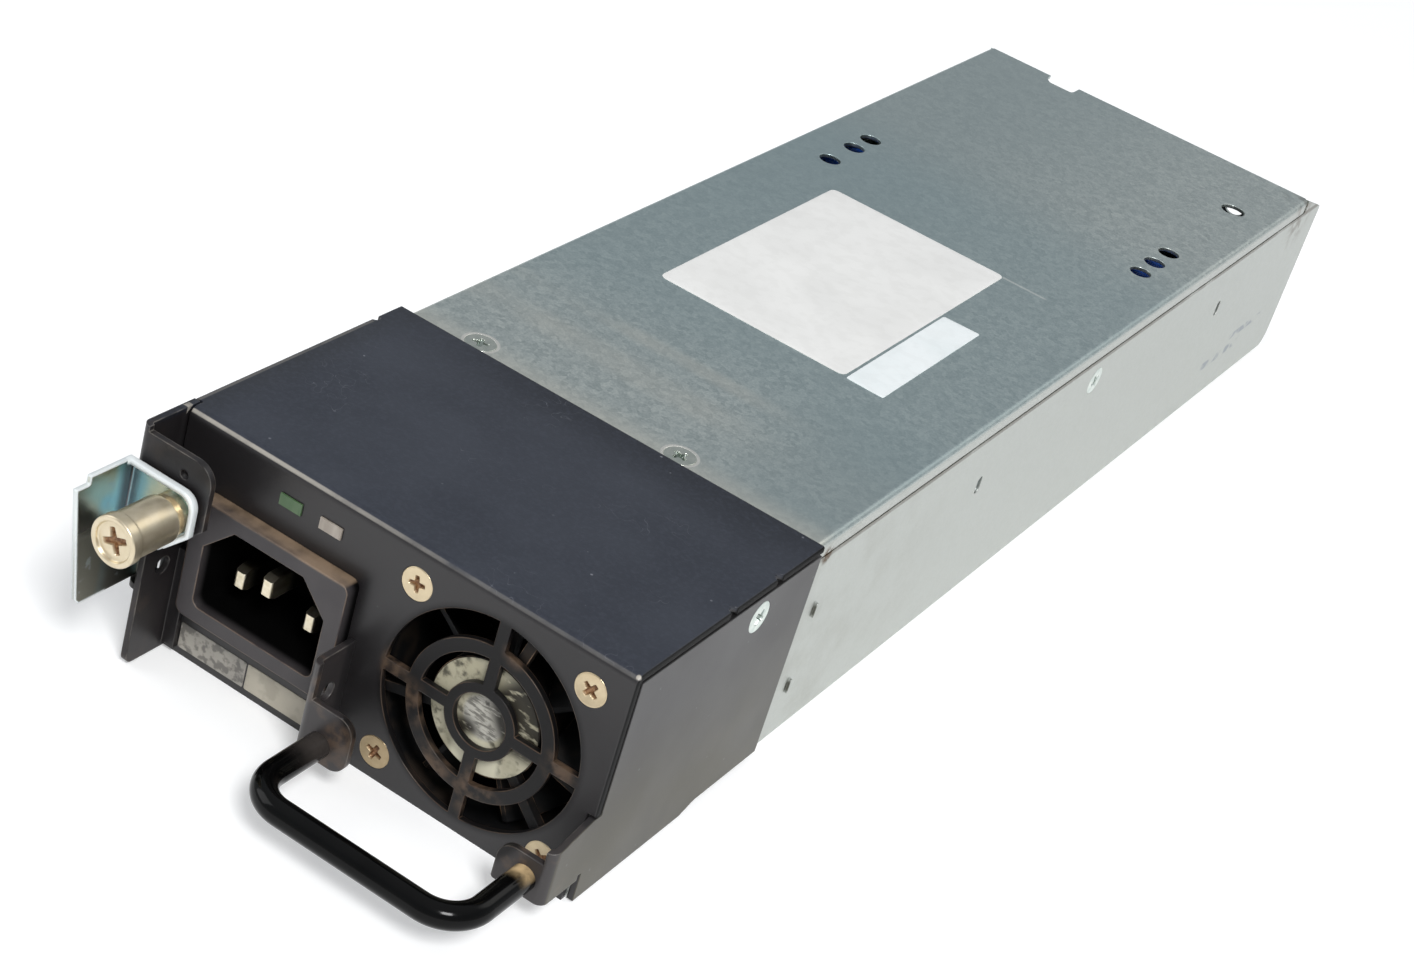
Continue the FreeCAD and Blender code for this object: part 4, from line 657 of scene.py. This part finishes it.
def label(name, corners, radius, thickness, place, finish):
    """Thin sheet with four corners (u, v) in mm, counterclockwise, each rounded by a quadratic curve."""
    corners = np.array(corners, float)
    before = np.roll(corners, 1, 0) - corners
    after = np.roll(corners, -1, 0) - corners
    before /= np.linalg.norm(before, axis=1)[:, None]
    after /= np.linalg.norm(after, axis=1)[:, None]
    t = np.linspace(0, 1, 9)[None, :, None]
    start, end = corners + before * radius, corners + after * radius
    curve = (1 - t) ** 2 * start[:, None] + 2 * t * (1 - t) * corners[:, None] + t ** 2 * end[:, None]
    heights = np.array([1, 1, 1, 0.9, 0.6, 0, 0]) * thickness
    return thin_sheet(name, curve.reshape(-1, 2), corners.mean(0), [0, 0.5, 0.96, 0.995, 1, 1, 0], heights,
                      place, finish)


def cross_recess(u, v, arm, root, tip, depth):
    """Depth of a cross-head drive at u, v: two arms that narrow and rise from the middle outwards."""
    wall_run, end_run, rise = 0.16, 0.18, 0.55

    def one_arm(along, across):
        along, across = np.abs(along), np.abs(across)
        reach = np.clip(along / arm, 0, 1)
        half_width = root + (tip - root) * reach
        wall = np.clip((half_width - across) / wall_run, 0, 1)
        end = np.clip((arm - along) / end_run, 0, 1)
        floor = 1 - rise * reach ** 1.5
        return wall * end * floor

    return depth * np.maximum(one_arm(u, v), one_arm(v, u))


def turned(profile, columns, recess, thread):
    """Surface of revolution: profile rows (radius, height) in mm, with a cross recess and a thread.

    recess is (rows that it sinks, arm, root, tip, depth), as cross_recess has them;
    thread is (first row, last row, depth, pitch): between them the radius follows a helix.
    Gives points (rows, columns, 3) and the share of the recess depth at each.
    """
    angle = np.linspace(0, 2 * np.pi, columns, endpoint=False)
    radius = np.repeat(profile[:, :1], columns, 1)
    height = np.repeat(profile[:, 1:], columns, 1)
    first, last, groove, pitch = thread
    phase = (height[first:last] / pitch + angle / (2 * np.pi)) % 1
    radius[first:last] -= groove * np.abs(2 * phase - 1)
    u, v = radius * np.cos(angle), radius * np.sin(angle)
    share = np.zeros_like(u)
    rows, arm, root, tip, depth = recess
    sunk = cross_recess(u[:rows], v[:rows], arm, root, tip, depth)
    height[:rows] -= sunk
    share[:rows] = np.clip(sunk / depth * 2, 0, 1)
    return np.stack((u, v, height), -1), share


def fillet(centre, radius, start, end, count=6):
    """Profile rows on an arc about centre, between two angles in degrees."""
    angle = np.radians(np.linspace(start, end, count))
    return np.stack((centre[0] + radius * np.cos(angle), centre[1] + radius * np.sin(angle)), -1)


def stem(radius, top, rows, spacing=0.05):
    """Profile rows of a straight stem: one radius, and heights at an even spacing down from top."""
    return np.stack((np.full(rows, radius), top - spacing * np.arange(rows)), -1)


def placed(local, seats):
    """Copies of local points at seats: (place in mm, outward direction, turn in degrees) each."""
    copies = []
    for at, outward, turn in seats:
        out = Vector(outward)
        basis = out.to_track_quat("Z", "Y").to_matrix() @ Matrix.Rotation(math.radians(turn), 3, "Z")
        copies.append(local @ np.array(basis).T + np.array(at))
    return np.array(copies) * MM


# Countersunk cross-head screws, turned and threaded: domed face, rounded rim, cone and shank
HEAD, SHANK, LENGTH, FACE_ROWS = 2.85, 1.5, 6.0, 36
radii = np.linspace(0, HEAD - 0.2, FACE_ROWS)
head = np.concatenate((
    np.stack((radii, 0.10 * (1 - (radii / HEAD) ** 2)), -1),
    fillet((HEAD - 0.16, -0.12), 0.16, 80, -20), [(HEAD - 0.05, -0.2), (SHANK, -1.15)]))
tail_end = [(SHANK - 0.35, -LENGTH), (0, -LENGTH)]
screw, screw_share = turned(
    np.concatenate((head, stem(SHANK, -1.2, 90), tail_end)), 96,
    recess=(FACE_ROWS, 1.5, 0.52, 0.36, 0.8), thread=(len(head) + 4, len(head) + 88, 0.22, 0.5))


def screws(name, finish, seats):
    """Every screw of one kind, from the turned screw surface."""
    tone = np.repeat(screw_share[None], len(seats), 0)
    return new_piece(name + "_detail", placed(screw, seats), finish, "case", tone, (name,))


front, up = (0, -1, 0), (0, 0, 1)
screws("fan_screws", nickel, [
    (fan_corner(side, level), front, turn)
    for side, level, turn in ((-1, -1, 70), (-1, 1, 8), (1, -1, 38), (1, 1, 52))])
screws("cover_screws", flake, [(seat, up, turn) for seat, turn in zip(COVER_SEATS, (20, 65))])
screws("side_screws", flake,
       [((CASE_SIDE * s, 171, 33.3625), (s, 0, 0), 30) for s in (-1, 1)]
       + [((FRONT_SIDE * s, 37.3, 37.2), (s, 0, 0), 55) for s in (-1, 1)])

# Captive screw: rimmed knob with a dished face and a cross-head drive, hollow skirt and threaded stem
KNOB_SEAT = (-33.65, -23.8, 32.3)
DISH, DISH_ROWS, RIM, SKIRT, HOLLOW, SKIRT_END, STEM = 3.0, 40, 4.25, 3.9, 2.9, -10.6, 1.3
radii = np.linspace(0, DISH, DISH_ROWS)
knob_side = np.concatenate((
    np.stack((radii, -0.55 - 0.08 * (radii / DISH) ** 2), -1),
    fillet((DISH, -0.33), 0.3, -80, 0), fillet((3.6, -0.33), 0.3, 180, 90),
    fillet((RIM - 0.35, -0.38), 0.35, 85, 0), fillet((RIM - 0.3, -1.9), 0.3, 0, -80),
    [(SKIRT + 0.12, -2.3)], fillet((SKIRT + 0.12, -2.45), 0.12, 110, 180, 3),
    [(SKIRT, -2.7), (SKIRT, SKIRT_END + 0.3)],
    fillet((SKIRT - 0.25, SKIRT_END + 0.25), 0.25, 0, -80),
    [(HOLLOW + 0.1, SKIRT_END), (HOLLOW, SKIRT_END + 0.1), (HOLLOW, -2.0), (STEM, -2.0)]))
stem_end = [(STEM - 0.3, -14.1), (0, -14.1)]
knob, knob_share = turned(
    np.concatenate((knob_side, stem(STEM, -2.1, 236), stem_end)), 112,
    recess=(DISH_ROWS, 2.3, 0.72, 0.5, 0.9), thread=(len(knob_side) + 60, len(knob_side) + 232, 0.18, 0.5))
new_piece("captive_screw_detail", placed(knob, [(KNOB_SEAT, front, 24)]), nickel,
          "captive_screw", knob_share[None], ("captive_screw",))

# Bare labels, a hair off what carries them
LABEL_GAP, HUB_FACE, HUB_RADIUS = 0.004, 1.5, 9.8


def on_top(u, v, height):
    """Points on the top cover: u to the right, v to the rear."""
    return u, v, COVER_TOP + LABEL_GAP + height


def on_face(u, v, height):
    """Points on the faceplate: u to the right, v up."""
    return u, -LABEL_GAP - height, v


def on_hub(u, v, height):
    """Points on the fan's hub: u to the right, v up."""
    return u, HUB_FACE - LABEL_GAP - height, v


label("top_label", [(-24.1, 109.1), (16.1, 109.0), (16.05, 175.4), (-24.2, 175.4)], 1.6, 0.12, on_top,
      label_film("white_label_film", "#dbdad7", "#e2e1de", 0.04))
label("top_side_label", [(16.75, 108.8), (24.6, 108.6), (24.4, 148.2), (16.6, 147.9)], 0.5, 0.1, on_top,
      label_film("cool_label_film", "#dde3e3", "#e5e9e9", 0.04))
label("face_label_left", [(-35.2, 1.3), (-21.7, 1.3), (-21.7, 6.1), (-35.2, 6.1)], 0.3, 0.1, on_face,
      label_film("worn_label_film", "#8f8b84", "#a8a399", 0.7, "#4d4a47", 1.6))
label("face_label_right", [(-21.4, 1.3), (-5.2, 1.3), (-5.2, 6.1), (-21.4, 6.1)], 0.3, 0.1, on_face,
      label_film("beige_label_film", "#aaa394", "#bdb6a6", 0.3, "#7d7568"))

around = np.radians(np.arange(0, 360, 5))
hub_middle = np.array((FAN_X, FAN_Z))
hub_outline = hub_middle + HUB_RADIUS * np.stack((np.cos(around), np.sin(around)), -1)
thin_sheet("fan_hub_label", hub_outline, hub_middle, [0, 0.3, 0.65, 0.97, 1, 1, 0],
           [0.12, 0.12, 0.12, 0.12, 0.08, 0, 0], on_hub, hub_film())


# Stage, light and camera

WHITE = (1, 1, 1, 1)
FLOOR_HALF, FLOOR_SHADE = 6, 0.78
GLOW_NEAR, GLOW_FAR = (500, 0.28), (2500, 0.6)
floor_mesh = bpy.data.meshes.new("floor")
floor_corners = [(FLOOR_HALF * u, FLOOR_HALF * v, 0) for u, v in ((-1, -1), (1, -1), (1, 1), (-1, 1))]
floor_mesh.from_pydata(floor_corners, [], [(0, 1, 2, 3)])
floor = bpy.data.objects.new("floor", floor_mesh)
bpy.context.scene.collection.objects.link(floor)

# Pale floor: matt, with a glow that grows from its near to its far distance in mm, past the lamps' reach
paper = bpy.data.materials.new("pale_floor")
paper.use_nodes = True
tree = paper.node_tree
tree.nodes.clear()
path = add(tree, "LightPath")
seen = either(tree, path["Is Camera Ray"], path["Is Glossy Ray"], path["Is Transmission Ray"])
away = add(tree, "VectorMath", {0: add(tree, "TexCoord")["Object"]}, operation="LENGTH")["Value"]
level = overlap(tree, seen, (away, GLOW_NEAR[0], GLOW_FAR[0], GLOW_NEAR[1], GLOW_FAR[1]))
matt = add(tree, "BsdfDiffuse", {"Color": (FLOOR_SHADE, FLOOR_SHADE, FLOOR_SHADE, 1)})[0]
glow = add(tree, "Emission", {"Strength": level, "Color": WHITE})[0]
add(tree, "OutputMaterial", {"Surface": add(tree, "AddShader", {0: matt, 1: glow})[0]})
floor_mesh.materials.append(paper)

# Studio: grey walls under a paler ceiling, with one warm panel high at the rear right; white to the camera
PANEL_WAY = (0.36, 0.67, 0.65)
world = bpy.data.worlds.new("studio")
bpy.context.scene.world = world
world.use_nodes = True
tree = world.node_tree
tree.nodes.clear()
toward = add(tree, "TexCoord")["Generated"]
rise = add(tree, "SeparateXYZ", {0: toward})[2]
sky = add(tree, "ValToRGB", {0: rise}, (
    (0.0, (0.62, 0.62, 0.62, 1)), (0.25, (0.42, 0.44, 0.46, 1)),
    (0.6, (0.38, 0.41, 0.44, 1)), (1.0, (0.62, 0.63, 0.65, 1))))[0]
studio = add(tree, "Background", {"Color": sky, "Strength": 1.0})[0]
facing = add(tree, "VectorMath", {0: toward, 1: PANEL_WAY}, operation="DOT_PRODUCT")["Value"]
panel = add(tree, "MapRange", {"Value": facing, "From Min": 0.955, "From Max": 0.985, "To Max": 1.3})[0]
ceiling = add(tree, "Background", {"Strength": panel, "Color": (1, 0.97, 0.92, 1)})[0]
lit = add(tree, "AddShader", {0: studio, 1: ceiling})[0]
blank = add(tree, "Background", {"Color": WHITE, "Strength": 1.0})[0]
seen = add(tree, "LightPath")["Is Camera Ray"]
add(tree, "OutputWorld", {"Surface": add(tree, "MixShader", {0: seen, 1: lit, 2: blank})[0]})


AIM = Vector((0, 0.12, 0.02))


def soft_box(name, place, size, power):
    """Square soft light aimed at the middle of the case."""
    lamp = bpy.data.lights.new(name, "AREA")
    lamp.size, lamp.energy = size, power
    holder = bpy.data.objects.new(name, lamp)
    holder.location = place
    holder.rotation_euler = (AIM - Vector(place)).to_track_quat("-Z", "Y").to_euler()
    bpy.context.scene.collection.objects.link(holder)


soft_box("key", (0.75, -0.75, 1.25), 0.45, 20)
soft_box("fill", (-1.2, -0.5, 0.8), 0.9, 5)

# Camera fitted to the photograph: focal length in its pixels, axes and eye point
FOCAL_PX, WIDTH_PX, SENSOR = 2759.18, 1414, 36.0
RIGHT = Vector((0.817291, 0.514411, 0.259648))
DOWN = Vector((0.465683, -0.324259, -0.823405))
FORWARD = Vector((-0.339375, 0.793875, -0.504566))
EYE = Vector((171.418, -297.702, 265.792)) * MM
view = bpy.data.cameras.new("camera")
view.sensor_fit, view.sensor_width = "HORIZONTAL", SENSOR
view.lens = FOCAL_PX * SENSOR / WIDTH_PX
view.clip_start, view.clip_end = 0.01, 50
camera = bpy.data.objects.new("camera", view)
camera.matrix_world = Matrix.Translation(EYE) @ Matrix((RIGHT, -DOWN, -FORWARD)).transposed().to_4x4()
bpy.context.scene.collection.objects.link(camera)
bpy.context.scene.camera = camera
bpy.context.scene.view_settings.view_transform = "Standard"
